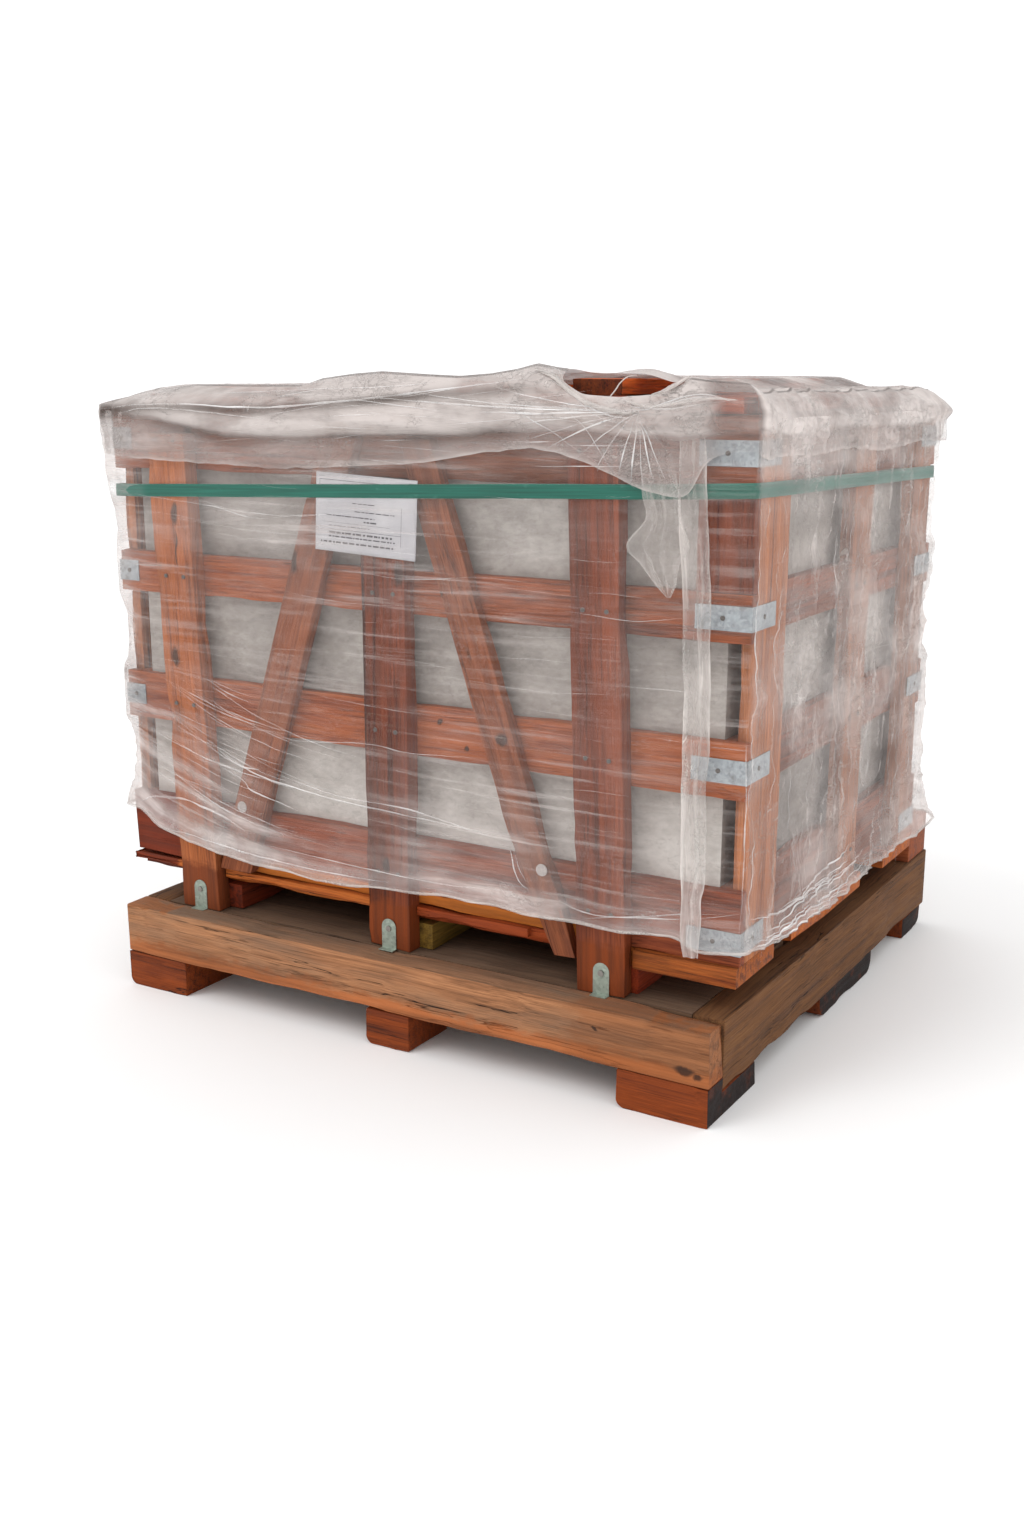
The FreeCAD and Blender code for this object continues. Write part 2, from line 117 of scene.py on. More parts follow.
def built(name, points, faces, material, body, smooth=True, sharp=None, **attributes):
    """A mesh object that rides on a body. Each attribute has one value or vector for each point."""
    mesh = bpy.data.meshes.new(name)
    mesh.from_pydata([tuple(p) for p in points], [], [tuple(int(i) for i in f) for f in faces])
    for key, values in attributes.items():
        values = np.asarray(values, np.float32)
        kind, field = ("FLOAT_VECTOR", "vector") if values.ndim == 2 else ("FLOAT", "value")
        mesh.attributes.new(key, kind, "POINT").data.foreach_set(field, values.ravel())
    mesh.materials.append(material)
    if smooth:
        mesh.shade_smooth()
    if sharp is not None:
        mesh.set_sharp_from_angle(angle=math.radians(sharp))
    mesh.update()
    obj = linked(name, mesh)
    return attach(obj, body)


def grid_faces(rows, columns, closed=False, ring=False):
    """Quads over rows of points; closed joins the last column to the first, and ring the last row to the first."""
    faces = []
    for r in range(rows if ring else rows - 1):
        here, above = r * columns, (r + 1) % rows * columns
        for c in range(columns if closed else columns - 1):
            d = (c + 1) % columns
            faces.append((here + c, here + d, above + d, above + c))
    return faces


def spots_at(*parts):
    """Rows of points from one, two or three coordinates; the ones left out are 0."""
    parts = [np.ravel(p) for p in parts]
    return np.column_stack(parts + [np.zeros(len(parts[0]))] * (3 - len(parts)))


def lengths_along(points, closed=False):
    """The distance along a line of points up to each of them, and back to the first one if it is closed."""
    points = np.vstack([points, points[:1]]) if closed else points
    return np.concatenate([[0], np.cumsum(np.linalg.norm(np.diff(points, axis=0), axis=1))])


def softened(values, rounds):
    """The values round a closed loop, each averaged with its neighbours some times over."""
    for _ in range(rounds):
        values = (np.roll(values, 1, 0) + 2 * values + np.roll(values, -1, 0)) / 4
    return values


def table(rows, at):
    return np.interp(at, *zip(*rows))


def mm(*numbers):
    """Pairs in metres from a row of millimetres."""
    return tuple((a / 1000, b / 1000) for a, b in zip(numbers[::2], numbers[1::2]))


def through(points, spacing):
    """A smooth line through the points, sampled evenly."""
    pts = np.asarray(points, float)
    padded = np.vstack([2 * pts[0] - pts[1], pts, 2 * pts[-1] - pts[-2]])
    line = []
    for i in range(len(pts) - 1):
        a, b, c, d = padded[i:i + 4]
        for t in np.linspace(0, 1, 12, endpoint=False):
            line.append(0.5 * (2 * b + (c - a) * t + (2 * a - 5 * b + 4 * c - d) * t ** 2
                               + (3 * b - a - 3 * c + d) * t ** 3))
    line = np.array(line + [pts[-1]])
    along = lengths_along(line)
    at = np.linspace(0, along[-1], max(3, int(along[-1] / spacing) + 1))
    return np.stack([np.interp(at, along, line[:, k]) for k in range(line.shape[1])], axis=1)


# ---------------------------------------------------------------- materials

class Graph:
    """A node material under construction, with one Principled shader."""

    def __init__(self, name, **settings):
        self.material = bpy.data.materials.new(name)
        self.material.use_nodes = True
        self.tree = self.material.node_tree
        self.shader = self.tree.nodes["Principled BSDF"]
        for key, value in settings.items():
            self.shader.inputs[key.replace("_", " ")].default_value = value

    def add(self, kind, inputs=(), output=0, **settings):
        node = self.tree.nodes.new(kind)
        for key, value in settings.items():
            setattr(node, key, value)
        for key, value in dict(inputs).items():
            self.feed(node.inputs[key], value)
        return node.outputs[output]

    def feed(self, socket, value):
        if isinstance(value, bpy.types.NodeSocket):
            self.tree.links.new(value, socket)
        else:
            socket.default_value = value

    def out(self, key, value):
        self.feed(self.shader.inputs[key], value)

    def attribute(self, name, output="Fac"):
        return self.add("ShaderNodeAttribute", output=output, attribute_name=name)

    def place(self):
        return self.add("ShaderNodeTexCoord", output="Object")

    def scaled(self, vector, scale, turn=(0, 0, 0)):
        return self.add("ShaderNodeMapping", {"Vector": vector, "Scale": scale, "Rotation": turn})

    def noise(self, vector, scale, detail=3, roughness=0.5, distortion=0):
        at = self.scaled(vector, scale)
        return self.add("ShaderNodeTexNoise", {"Vector": at, "Scale": 1, "Detail": detail, "Roughness": roughness,
                                               "Distortion": distortion})

    def level(self, value, low, high, to_low=0, to_high=1):
        return self.add("ShaderNodeMapRange", {"Value": value, "From Min": low, "From Max": high, "To Min": to_low,
                                               "To Max": to_high}, interpolation_type="SMOOTHSTEP")

    def math(self, operation, a, b=0, clamp=False):
        return self.add("ShaderNodeMath", {0: a, 1: b}, operation=operation, use_clamp=clamp)

    def plus(self, a, b, clamp=False):
        return self.math("ADD", a, b, clamp)

    def minus(self, a, b):
        return self.math("SUBTRACT", a, b)

    def times(self, a, b):
        return self.math("MULTIPLY", a, b)

    def weighted(self, *terms):
        """The sum of (value, weight) pairs."""
        total = self.times(*terms[0])
        for term in terms[1:]:
            total = self.plus(total, self.times(*term))
        return total

    def vector(self, operation, a, b):
        return self.add("ShaderNodeVectorMath", {0: a, 1: b}, operation=operation)

    def part(self, vector, axis):
        """One coordinate of a vector: 0 X, 1 Y, 2 Z."""
        return self.add("ShaderNodeSeparateXYZ", {0: vector}, output=axis)

    def facing(self, axis):
        """How far the surface faces along an axis, -1 to 1."""
        return self.part(self.add("ShaderNodeNewGeometry", output="Normal"), axis)

    def line(self, value, middle, width):
        """1 where the value is within a width of the middle: thin contour lines of a noise."""
        return self.level(self.math("ABSOLUTE", self.minus(value, middle)), 0, width, 1, 0)

    def mix(self, factor, a, b, blend="MIX"):
        return self.add("ShaderNodeMix", {0: factor, 6: a, 7: b}, output=2, data_type="RGBA", blend_type=blend,
                        clamp_factor=True)

    def ramp(self, value, *stops):
        node = self.tree.nodes.new("ShaderNodeValToRGB")
        ramp = node.color_ramp
        while len(ramp.elements) < len(stops):
            ramp.elements.new(0.5)
        for element, (spot, colour) in zip(ramp.elements, stops):
            element.position = spot
            element.color = colour
        self.feed(node.inputs[0], value)
        return node.outputs[0]

    def bump(self, height, strength, distance):
        self.out("Normal", self.add("ShaderNodeBump", {"Height": height, "Strength": strength, "Distance": distance}))


def wood(name, pale, rich, dark, weather=0.25, weathered=(118, 98, 84), rough=0.66, cracks=0.5, knots=0.18,
         spots=(), fresh=None, stained=()):
    """Rough-sawn hardwood: fibres, growth rings and pores along the grain, knots, splits, saw marks and greyed
    patches. "grain" is a point's place in its own board, with the first axis along the grain. spots are dark marks
    on the front, each (x, z, half width, half height). fresh is (where, colour), and stained has any number of
    those."""
    g = Graph(name, Roughness=rough)
    g.out("Specular IOR Level", 0.18)
    grain = g.attribute("grain", "Vector")
    tone = g.attribute("tone")
    wear = g.attribute("wear")
    drift = g.noise(grain, (1.1, 5, 5), 2)
    bend = g.add("ShaderNodeCombineXYZ", {0: 0, 1: g.level(drift, 0.2, 0.8, -0.016, 0.016), 2: 0})
    bent = g.vector("ADD", grain, bend)
    fibres = g.noise(bent, (4.5, 300, 300), 4, 0.7)
    streaks = g.noise(bent, (1.7, 62, 62), 5, 0.62, 0.15)
    blotches = g.noise(bent, (1.8, 9, 9), 4, 0.55)
    rings = g.add("ShaderNodeTexWave", {"Vector": g.scaled(bent, (0.14, 1, 0.8)), "Scale": 26, "Distortion": 6,
                                        "Detail": 3, "Detail Scale": 1.3}, output="Fac", bands_direction="Y")
    body = g.weighted((fibres, 0.55), (streaks, 0.32), (g.minus(rings, 0.5), 0.09), (g.minus(blotches, 0.5), 0.3),
                      (tone, 0.11))
    colour = g.ramp(body, (0.24, linear(*dark)), (0.42, linear(*rich)), (0.62, linear(*pale)))
    worn = g.level(g.times(wear, streaks), 0.25, 0.6, 0, 0.35)
    colour = g.mix(worn, colour, shade(pale, 1.12, 8))
    mottled = g.level(streaks, 0.3, 0.7)
    if fresh:
        clean = fresh[0](g)
        colour = g.mix(g.times(clean, 0.85), colour, g.mix(mottled, shade(fresh[1], 0.8), linear(*fresh[1])))
    grey = g.plus(g.level(g.noise(bent, (2.6, 16, 16), 5, 0.65), 0.42, 0.72, 0, weather),
                  g.times(g.level(g.facing(2), 0.4, 0.95), weather * 0.9), clamp=True)
    if fresh:
        grey = g.times(grey, g.minus(1, clean))
    colour = g.mix(grey, colour, linear(*weathered))
    knot_cells = {"Vector": g.scaled(bent, (2.3, 7.5, 7.5)), "Scale": 1, "Randomness": 1}
    knot = g.add("ShaderNodeTexVoronoi", knot_cells, output="Distance")
    chosen = g.add("ShaderNodeSeparateColor", {0: g.add("ShaderNodeTexVoronoi", knot_cells, output="Color")})
    knot = g.times(g.level(knot, 0.03, 0.11, 1, 0), g.level(chosen, 1 - knots, 1.02 - knots))
    colour = g.mix(g.times(knot, 0.7), colour, shade(dark, 0.5))
    where = g.level(g.noise(grain, (1.3, 6, 6), 2), 0.46, 0.6)
    split = g.times(g.times(g.line(g.noise(bent, (0.9, 30, 30), 4, 0.6), 0.5, 0.01), where), cracks)
    colour = g.mix(split, colour, linear(24, 14, 10))
    colour = g.mix(g.level(fibres, 0.42, 0.28, 0, 0.6), colour, shade(dark, 0.55))
    fine = g.noise(bent, (9, 520, 520), 2, 0.6)
    speckled = g.ramp(fine, (0.3, (0.74, 0.72, 0.7, 1)), (0.66, (1.12, 1.12, 1.12, 1)))
    colour = g.mix(1, colour, speckled, "MULTIPLY")
    for where, tint in stained:
        colour = g.mix(where(g), colour, g.mix(mottled, shade(tint, 0.72), linear(*tint)))
    if spots:
        wobble = g.vector("MULTIPLY", g.noise(g.place(), (60, 60, 40), 3), (0.014, 0, 0.014))
        at = g.vector("ADD", g.place(), wobble)
        for x, z, wide, tall in spots:
            away = g.vector("SUBTRACT", at, (x + 0.007, 0, z + 0.007))
            away = g.vector("MULTIPLY", away, (1 / wide, 0, 1 / tall))
            size = g.add("ShaderNodeVectorMath", {0: away}, output="Value", operation="LENGTH")
            colour = g.mix(g.level(size, 0.5, 1.1, 0.85, 0), colour, linear(44, 32, 28))
    g.out("Base Color", colour)
    g.out("Roughness", g.level(streaks, 0.3, 0.7, rough - 0.06, rough + 0.14))
    saw = g.noise(grain, (190, 9, 9), 2)
    height = g.weighted((fibres, 0.6), (saw, 0.18), (streaks, 0.4))
    g.bump(g.minus(height, g.times(split, 1.3)), 0.7, 0.002)
    return g.material


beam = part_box("pallet_beam_front")


def fresh_patches(g):
    """Two spots on top of the pallet's front corners where another load kept the weather off."""
    ragged = g.vector("MULTIPLY", g.noise(g.place(), (30, 30, 30), 3), (0.03, 0.03, 0.03))
    x, y, z = (g.part(g.vector("ADD", g.place(), ragged), axis) for axis in (0, 1, 2))
    right = g.level(x, beam[1].x - 0.098, beam[1].x - 0.09)
    left = g.level(x, beam[0].x + 0.118, beam[0].x + 0.126, 1, 0)
    depth = g.level(y, beam[0].y + 0.105, beam[0].y + 0.115, 1, 0)
    top = g.level(z, beam[1].z + 0.008, beam[1].z + 0.012)
    return g.times(g.times(g.plus(right, left, clamp=True), depth), top)


def within(g, axis, low, high, soft=0.012, strength=1):
    """The band of a piece between two places on an axis (0 X, 2 Z), with a ragged edge."""
    ragged = g.noise(g.place(), (26, 26, 60), 4, 0.6)
    at = g.plus(g.part(g.place(), axis), g.level(ragged, 0.2, 0.8, -soft, soft))
    return g.times(g.level(at, low - soft, low + soft), g.level(at, high - soft, high + soft, strength, 0))


def band(*limits):
    """The place that within() describes, as a function of the material."""
    return lambda g: within(g, *limits)


def rail_underside(g):
    """The raw lower edge of the bottom rail, between the outer posts."""
    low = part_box("front_rail_bottom")[0].z
    return g.times(within(g, 2, 0, low + 0.024, 0.004, 0.9), within(g, 0, -0.54, 0.44))


def dark_side(g):
    """The dark weathered outer faces of the feet on the right."""
    speckle = g.noise(g.place(), (9, 22, 26), 4, 0.65)
    mottled = g.times(g.level(g.facing(0), 0.6, 0.9), g.level(speckle, 0.3, 0.5, 0.62, 0.98))
    return g.times(mottled, within(g, 0, 0.3, 0.9, 0.02, 1))


def cut_end(g):
    """The end grain of the boards whose ends face the front."""
    return g.level(g.facing(1), -0.5, -0.85, 0, 0.8)


BEAM_SKIRT = band(2, 0, beam[0].z + 0.026, 0.01, 0.75)
BEAM_RIGHT = band(0, 0.4, 0.9, 0.03, 0.45)
LEFT_ENDS = band(0, -0.9, -0.55, 0.006, 0.85)
RED_RUN = band(0, -0.03, 0.38, 0.006, 0.8)
POST_FOOT = band(2, 0, 0.262, 0.012, 0.88)
BEAM_MARKS = ((0.449, 0.133, 0.01, 0.004), (0.615, 0.094, 0.022, 0.009), (0.64, 0.088, 0.01, 0.006))
WOODS = {}


def add_wood(kind, *looks, **marks):
    WOODS[kind] = wood(f"{kind}_timber", *looks, **marks)


add_wood("pallet", (176, 124, 86), (136, 90, 60), (66, 42, 28), 0.62, (122, 98, 80), 0.74, 1, spots=BEAM_MARKS,
         fresh=(fresh_patches, (158, 102, 66)), stained=((BEAM_SKIRT, (178, 100, 54)), (BEAM_RIGHT, (150, 88, 50))))
# A darker copy of the pallet timber for the side and rear beams: painted shade, as if their faces were turned from the
# light.
add_wood("shaded_beam_side", (118, 80, 48), (92, 59, 36), (46, 29, 20), 0.16, (90, 70, 54), 0.74, 1)
add_wood("deck", (112, 86, 66), (84, 62, 46), (48, 34, 26), 0.5, (104, 84, 70), 0.8, 0.6)
add_wood("foot", (132, 60, 22), (100, 42, 15), (46, 19, 10), 0.03, (96, 70, 52), 0.7, 0.9, 0,
         stained=((dark_side, (34, 27, 26)),))
add_wood("bearer", (140, 52, 22), (108, 34, 14), (50, 18, 12), 0.04, (96, 60, 44), 0.66, 0.5, 0)
add_wood("yellow", (138, 108, 44), (104, 78, 28), (54, 40, 18), 0.1, (92, 78, 60), 0.66, 0.5, 0)
add_wood("plank", (190, 106, 44), (142, 66, 26), (66, 26, 14), 0.05, (110, 76, 56), 0.62, 0.9, 0.1,
         stained=((RED_RUN, (158, 62, 28)), (LEFT_ENDS, (122, 44, 24))))
add_wood("rail_bottom", (150, 78, 46), (118, 54, 34), (66, 28, 20), 0.08, (112, 84, 70), 0.64, 0.5, 0.08,
         stained=((rail_underside, (196, 112, 42)), (LEFT_ENDS, (126, 48, 26))))
# The rail's third spot, tall and narrow on the top rail beside the left post's top, is painted shade in the gap there.
add_wood("rail", (160, 88, 50), (128, 62, 36), (76, 34, 22), 0.1, (118, 90, 74), 0.64, 0.3, 0.08,
         spots=((0.084, 0.607, 0.006, 0.006), (0.14, 0.563, 0.006, 0.006), (-0.481, 1.06, 0.016, 0.08)))
add_wood("post", (130, 64, 36), (96, 43, 26), (46, 20, 16), 0.1, (98, 74, 64), 0.64, 0.7, 0.12,
         spots=((0.021, 0.868, 0.014, 0.026), (-0.016, 0.33, 0.01, 0.02)), stained=((POST_FOOT, (130, 60, 24)),))
add_wood("post_left", (170, 98, 54), (142, 76, 42), (86, 44, 26), 0.1, (116, 92, 76), 0.64, 0.5, 0,
         spots=((-0.491, 0.951, 0.01, 0.024), (-0.49, 0.885, 0.003, 0.04), (-0.506, 0.675, 0.012, 0.024)),
         stained=((POST_FOOT, (126, 60, 30)),))
add_wood("brace", (140, 80, 50), (110, 58, 37), (60, 30, 22), 0.12, (104, 82, 70), 0.64, 0.6, 0.1,
         spots=((-0.215, 0.875, 0.01, 0.024), (0.226, 0.594, 0.014, 0.014), (0.099, 0.835, 0.008, 0.01)))
add_wood("upright", (182, 118, 76), (154, 90, 56), (98, 54, 36), 0.1, (118, 92, 76), 0.64, 0.4, 0.06)
add_wood("lid", (200, 92, 36), (156, 60, 24), (62, 22, 12), 0.03, (110, 76, 60), 0.6, 0.6, 0)
add_wood("ledger", (240, 118, 46), (178, 66, 24), (50, 16, 10), 0, (90, 60, 44), 0.6, 0.9, 0,
         stained=((cut_end, (46, 15, 10)),))


def liner_board():
    """Grey fibre board: soft mottling, fine fibres and thin dark marks. Its front faces are painted lighter towards
    the bottom, which is painted light, and every face is a little darker towards the bottom.
    """
    g = Graph("liner_board", Roughness=0.85)
    at = g.place()
    clouds = g.noise(at, (3.2, 3.2, 5), 4, 0.55)
    fibres = g.noise(at, (60, 60, 120), 4, 0.6)
    mottle = g.noise(at, (14, 14, 19), 5, 0.68)
    tone = g.weighted((clouds, 0.42), (fibres, 0.22), (mottle, 0.36))
    height = g.part(at, 2)
    # Painted light: the front faces brighten towards the bottom.
    lift = g.times(g.level(height, 0.75, 0.3, 0, 0.32), g.level(g.facing(1), -0.5, -0.8))
    tone = g.plus(tone, g.minus(lift, g.level(height, 0.8, 0.4, 0, 0.12)))
    colour = g.ramp(tone, (0.32, linear(124, 118, 113)), (0.5, linear(160, 153, 147)), (0.74, linear(206, 200, 194)))
    marks = g.line(g.noise(at, (7, 7, 11), 5, 0.6), 0.5, 0.006)
    colour = g.mix(g.times(marks, 0.25), colour, linear(96, 90, 82))
    g.out("Base Color", colour)
    g.bump(fibres, 0.25, 0.001)
    return g.material


def zinc(name, base, rough):
    """Galvanised sheet: spangle, dull streaks and a few darker scuffs."""
    g = Graph(name, Metallic=0.55, Roughness=rough)
    at = g.place()
    spangle = g.add("ShaderNodeTexVoronoi", {"Vector": at, "Scale": 190}, output="Color")
    flecks = g.add("ShaderNodeSeparateColor", {0: spangle})
    scuffs = g.noise(at, (60, 60, 30), 4, 0.6)
    colour = g.ramp(flecks, (0, shade(base, 0.9)), (1, shade(base, 1.06)))
    colour = g.mix(g.level(scuffs, 0.56, 0.74, 0, 0.45), colour, linear(96, 92, 88))
    g.out("Base Color", colour)
    g.out("Roughness", g.level(scuffs, 0.3, 0.7, rough - 0.08, rough + 0.16))
    g.bump(scuffs, 0.25, 0.0008)
    return g.material


def plain(name, colour, rough, grain_scale=90, metallic=0, depth=0.2):
    """Small parts: a little unevenness in colour and gloss."""
    g = Graph(name, Roughness=rough, Metallic=metallic)
    speckle = g.noise(g.place(), (grain_scale,) * 3, 4, 0.6)
    g.out("Base Color", g.ramp(speckle, (0.3, shade(colour, 0.84)), (0.7, linear(*colour))))
    g.out("Roughness", g.level(speckle, 0.3, 0.7, rough - 0.06, rough + 0.1))
    g.bump(speckle, depth, 0.0006)
    return g.material


def strap_band():
    """Green polyester strapping: an embossed waffle, faint lengthwise lines and scuffs. "flow" runs along it."""
    g = Graph("strap_band", Roughness=0.38)
    flow = g.attribute("flow", "Vector")
    lines = g.noise(flow, (5, 260, 1), 3, 0.5)
    scuffs = g.noise(flow, (28, 60, 1), 4, 0.6)
    colour = g.ramp(lines, (0.3, linear(0, 74, 60)), (0.55, linear(2, 92, 76)), (0.8, linear(16, 108, 90)))
    colour = g.mix(g.level(scuffs, 0.6, 0.78, 0, 0.3), colour, linear(84, 140, 126))
    g.out("Base Color", colour)
    waffle = g.add("ShaderNodeTexVoronoi", {"Vector": g.scaled(flow, (330, 330, 1)), "Scale": 1,
                                            "Randomness": 0}, output="Distance", voronoi_dimensions="2D")
    g.bump(g.weighted((waffle, 0.6), (lines, 0.5)), 0.3, 0.0005)
    return g.material


def paper():
    g = Graph("label_paper", Roughness=0.7)
    at = g.place()
    damp = g.noise(at, (14, 14, 14), 4, 0.6)
    g.out("Base Color", g.ramp(damp, (0.35, linear(176, 174, 178)), (0.7, linear(196, 194, 196))))
    g.bump(g.noise(at, (26, 26, 40), 3), 0.3, 0.002)
    return g.material


def film(name, colour, rough, lines=0.1, crinkle=0.25, wisp=0.2, dirt=0, fine=1, banded=0, level_crisp=1):
    """Stretch film. "haze" is how milky it is at a point, before stretch lines, wisps, crinkles and painted glints are
    laid over it. "flow" is a point's place on the sheet, along it and up it; the wisps run along it, or up it where
    "upright" is 1. A fourth attribute darkens the tint in the shade beneath the folds: painted shade."""
    g = Graph(name, Roughness=rough, IOR=1.45)
    g.out("Specular IOR Level", 0.35)
    haze = g.attribute("haze")
    flow = g.attribute("flow", "Vector")
    upright = g.attribute("upright")
    clouds = g.noise(flow, (5, 9, 1), 4, 0.6)
    threads = g.noise(flow, (5 * fine, 150 * fine, 1), 4, 0.65, 0.3)
    level_wisps = g.noise(flow, (2, 17, 1), 6, 0.68, 0.9)
    upright_wisps = g.noise(flow, (30, 4.5, 1), 6, 0.7, 1.4)
    wisps = g.add("ShaderNodeMix", {0: upright, 2: level_wisps, 3: upright_wisps}, clamp_factor=True)
    wisps = g.level(wisps, 0.47, 0.74)
    # The creases are real crinkles and the sparks are painted glints; where either lies the film is more opaque and its
    # tint lighter, a painted highlight.
    creased = g.line(g.noise(flow, (7, 15, 1), 6, 0.66, 0.8), 0.5, 0.013)
    painted_glints = g.line(g.noise(flow, (30, 34, 1), 5, 0.65, 0.5), 0.5, 0.018)
    mask = g.level(g.noise(flow, (6, 7, 1), 4, 0.6), 0.44, 0.66)
    bands = g.level(g.noise(flow, (2.6, 62, 1), 4, 0.6, 0.25), 0.5, 0.72, 0, banded)
    bands = g.times(bands, g.level(g.noise(flow, (2.2, 3.4, 1), 3), 0.36, 0.62, 0.25, 1))
    crease_glints = g.times(g.plus(creased, g.times(painted_glints, 0.8)), mask)
    crease_glints = g.times(crease_glints, g.level(upright, 0, 1, level_crisp, 1))
    crease_glints = g.times(crease_glints, g.level(haze, 0.05, 0.45, 0.5, 1.25))
    veil = g.times(wisps, g.level(haze, 0, 0.3, 0.3, 1.3))
    alpha = g.weighted((haze, g.level(clouds, 0.25, 0.75, 0.55, 1.45)), (g.level(threads, 0.54, 0.76), lines),
                       (bands, g.level(upright, 0, 1, 1, 0)), (veil, wisp))
    g.out("Alpha", g.plus(alpha, g.times(crease_glints, crinkle), clamp=True))
    tint = g.mix(g.level(clouds, 0.35, 0.7), linear(*colour), shade(colour, 1.06))
    if dirt:
        stain = g.level(g.noise(flow, (9, 15, 1), 5, 0.65), 0.52, 0.78, 0, dirt)
        tint = g.mix(stain, tint, linear(*[c * k for c, k in zip(colour, (0.8, 0.72, 0.66))]))
    # Painted shade: the tint is darkened beneath the cover's folds.
    tint = g.mix(g.attribute("soil"), tint, linear(*[c * k for c, k in zip(colour, (0.42, 0.37, 0.34))]))
    tint = g.mix(g.times(upright, 0.8), tint, shade(colour, 1.18))
    # Painted highlight: the creases and glints lighten the tint.
    tint = g.mix(g.times(crease_glints, 0.8), tint, shade(colour, 1.22))
    g.out("Base Color", tint)
    g.out("Roughness", g.level(clouds, 0.3, 0.7, rough - 0.06, rough + 0.12))
    g.bump(g.weighted((threads, 0.25), (crease_glints, 0.8), (wisps, 0.9), (g.noise(flow, (24, 60, 1), 4, 0.6), 0.6)),
           0.8, 0.004)
    return g.material


LINER = liner_board()
ZINC = zinc("galvanised", (160, 166, 170), 0.5)
TIE_ZINC = zinc("tie_galvanised", (154, 164, 152), 0.5)
STEEL = plain("nail_steel", (104, 98, 94), 0.55, 260, 0.7)
SCREW = plain("screw_steel", (150, 146, 140), 0.35, 200, 0.8)
CAP = plain("cap_plastic", (184, 174, 170), 0.45, 120)
INK = plain("label_ink", (58, 58, 66), 0.8, 300)
PAPER = paper()
STRAP = strap_band()
WRAP_FILM = film("wrap_film", (214, 205, 201), 0.26, 0.08, 0.4, 0.22, banded=0.3, level_crisp=0.4)
COVER_FILM = film("cover_film", (188, 179, 175), 0.4, 0.08, 0.26, 0.16, 0.35, 0.8)
ROLL_FILM = film("rolled_film", (216, 208, 203), 0.34, 0.22, 0.4, 0.2, 0, 1.6)
# Near-white film for the crease lines: painted highlights laid on real creases.
CREASE_HIGHLIGHT_FILM = film("crease_highlight_film", (254, 249, 246), 0.25, 0.1, 0.2)


# ---------------------------------------------------------------- timber

def solids(node):
    """The separate solids of a CAD node, each as a mesh of its own with its flat faces whole."""
    whole = bmesh.new()
    whole.from_mesh(frame["nodes"][node].data)
    bmesh.ops.remove_doubles(whole, verts=whole.verts, dist=1e-5)
    bmesh.ops.dissolve_limit(whole, angle_limit=math.radians(1), verts=whole.verts, edges=whole.edges)
    left = set(whole.faces)
    found = []
    while left:
        todo = [min(left, key=lambda f: f.index)]
        island = set(todo)
        while todo:
            face = todo.pop()
            for edge in face.edges:
                for other in edge.link_faces:
                    if other not in island:
                        island.add(other)
                        todo.append(other)
        left -= island
        part = bmesh.new()
        copies = {}
        for face in sorted(island, key=lambda f: f.index):
            for v in face.verts:
                if v not in copies:
                    copies[v] = part.verts.new(v.co)
            part.faces.new([copies[v] for v in face.verts])
        found.append(part)
    whole.free()
    return sorted(found, key=lambda b: tuple(round(c, 4) for c in min(tuple(v.co) for v in b.verts)))


def weathered(part, axis, edge, chips, bow, seed, cell):
    """Saws a plain timber into short lengths, rounds its arrises and lets them wander and chip.
    Returns its points, faces, places in the grain and how far each point is an arris."""
    longest = max(part.edges, key=lambda e: e.calc_length())
    along = Vector(axis) if axis else (longest.verts[1].co - longest.verts[0].co).normalized()
    spots = [v.co.dot(along) for v in part.verts]
    low, high = min(spots), max(spots)
    count = max(2, int((high - low) / cell))
    for i in range(1, count):
        at = low + (high - low) * i / count
        bmesh.ops.bisect_plane(part, geom=part.verts[:] + part.edges[:] + part.faces[:], dist=1e-6,
                               plane_co=along * at, plane_no=along)
    sharp = [e for e in part.edges if len(e.link_faces) == 2 and e.calc_face_angle(0) > math.radians(30)]
    bmesh.ops.bevel(part, geom=sharp, offset=edge, segments=2, profile=0.6, affect="EDGES", clamp_overlap=True)
    part.normal_update()
    up = Vector((0, 0, 1)) if abs(along.z) < 0.7 else Vector((1, 0, 0))
    across = along.cross(up).normalized()
    thick = along.cross(across)
    centre = sum((v.co for v in part.verts), Vector()) / len(part.verts)
    points, grain, worn = [], [], []
    for v in part.verts:
        arris = 0.0
        for e in v.link_edges:
            if len(e.link_faces) == 2 and e.calc_face_angle(0) > math.radians(12):
                arris = 1.0
        p = v.co.copy()
        key = p * 9 + Vector((seed, seed * 0.7, 0))
        sway = Vector((noise.noise(p * 2.1 + Vector((seed, 0, 0))), noise.noise(p * 2.3 + Vector((0, seed, 0))),
                       noise.noise(p * 2.2 + Vector((0, 0, seed)))))
        p += (across * sway.x + thick * sway.y) * bow
        if arris:
            bite = max(0.0, noise.noise(key) * 1.4 - 0.12) + 0.45 * max(0.0, noise.noise(key * 4.1) - 0.2)
            p -= v.normal * bite * chips
        points.append(p)
        local = p - centre
        grain.append((local.dot(along), local.dot(across), local.dot(thick)))
        worn.append(arris)
    part.verts.index_update()
    faces = [[v.index for v in f.verts] for f in part.faces]
    part.free()
    return points, faces, grain, worn


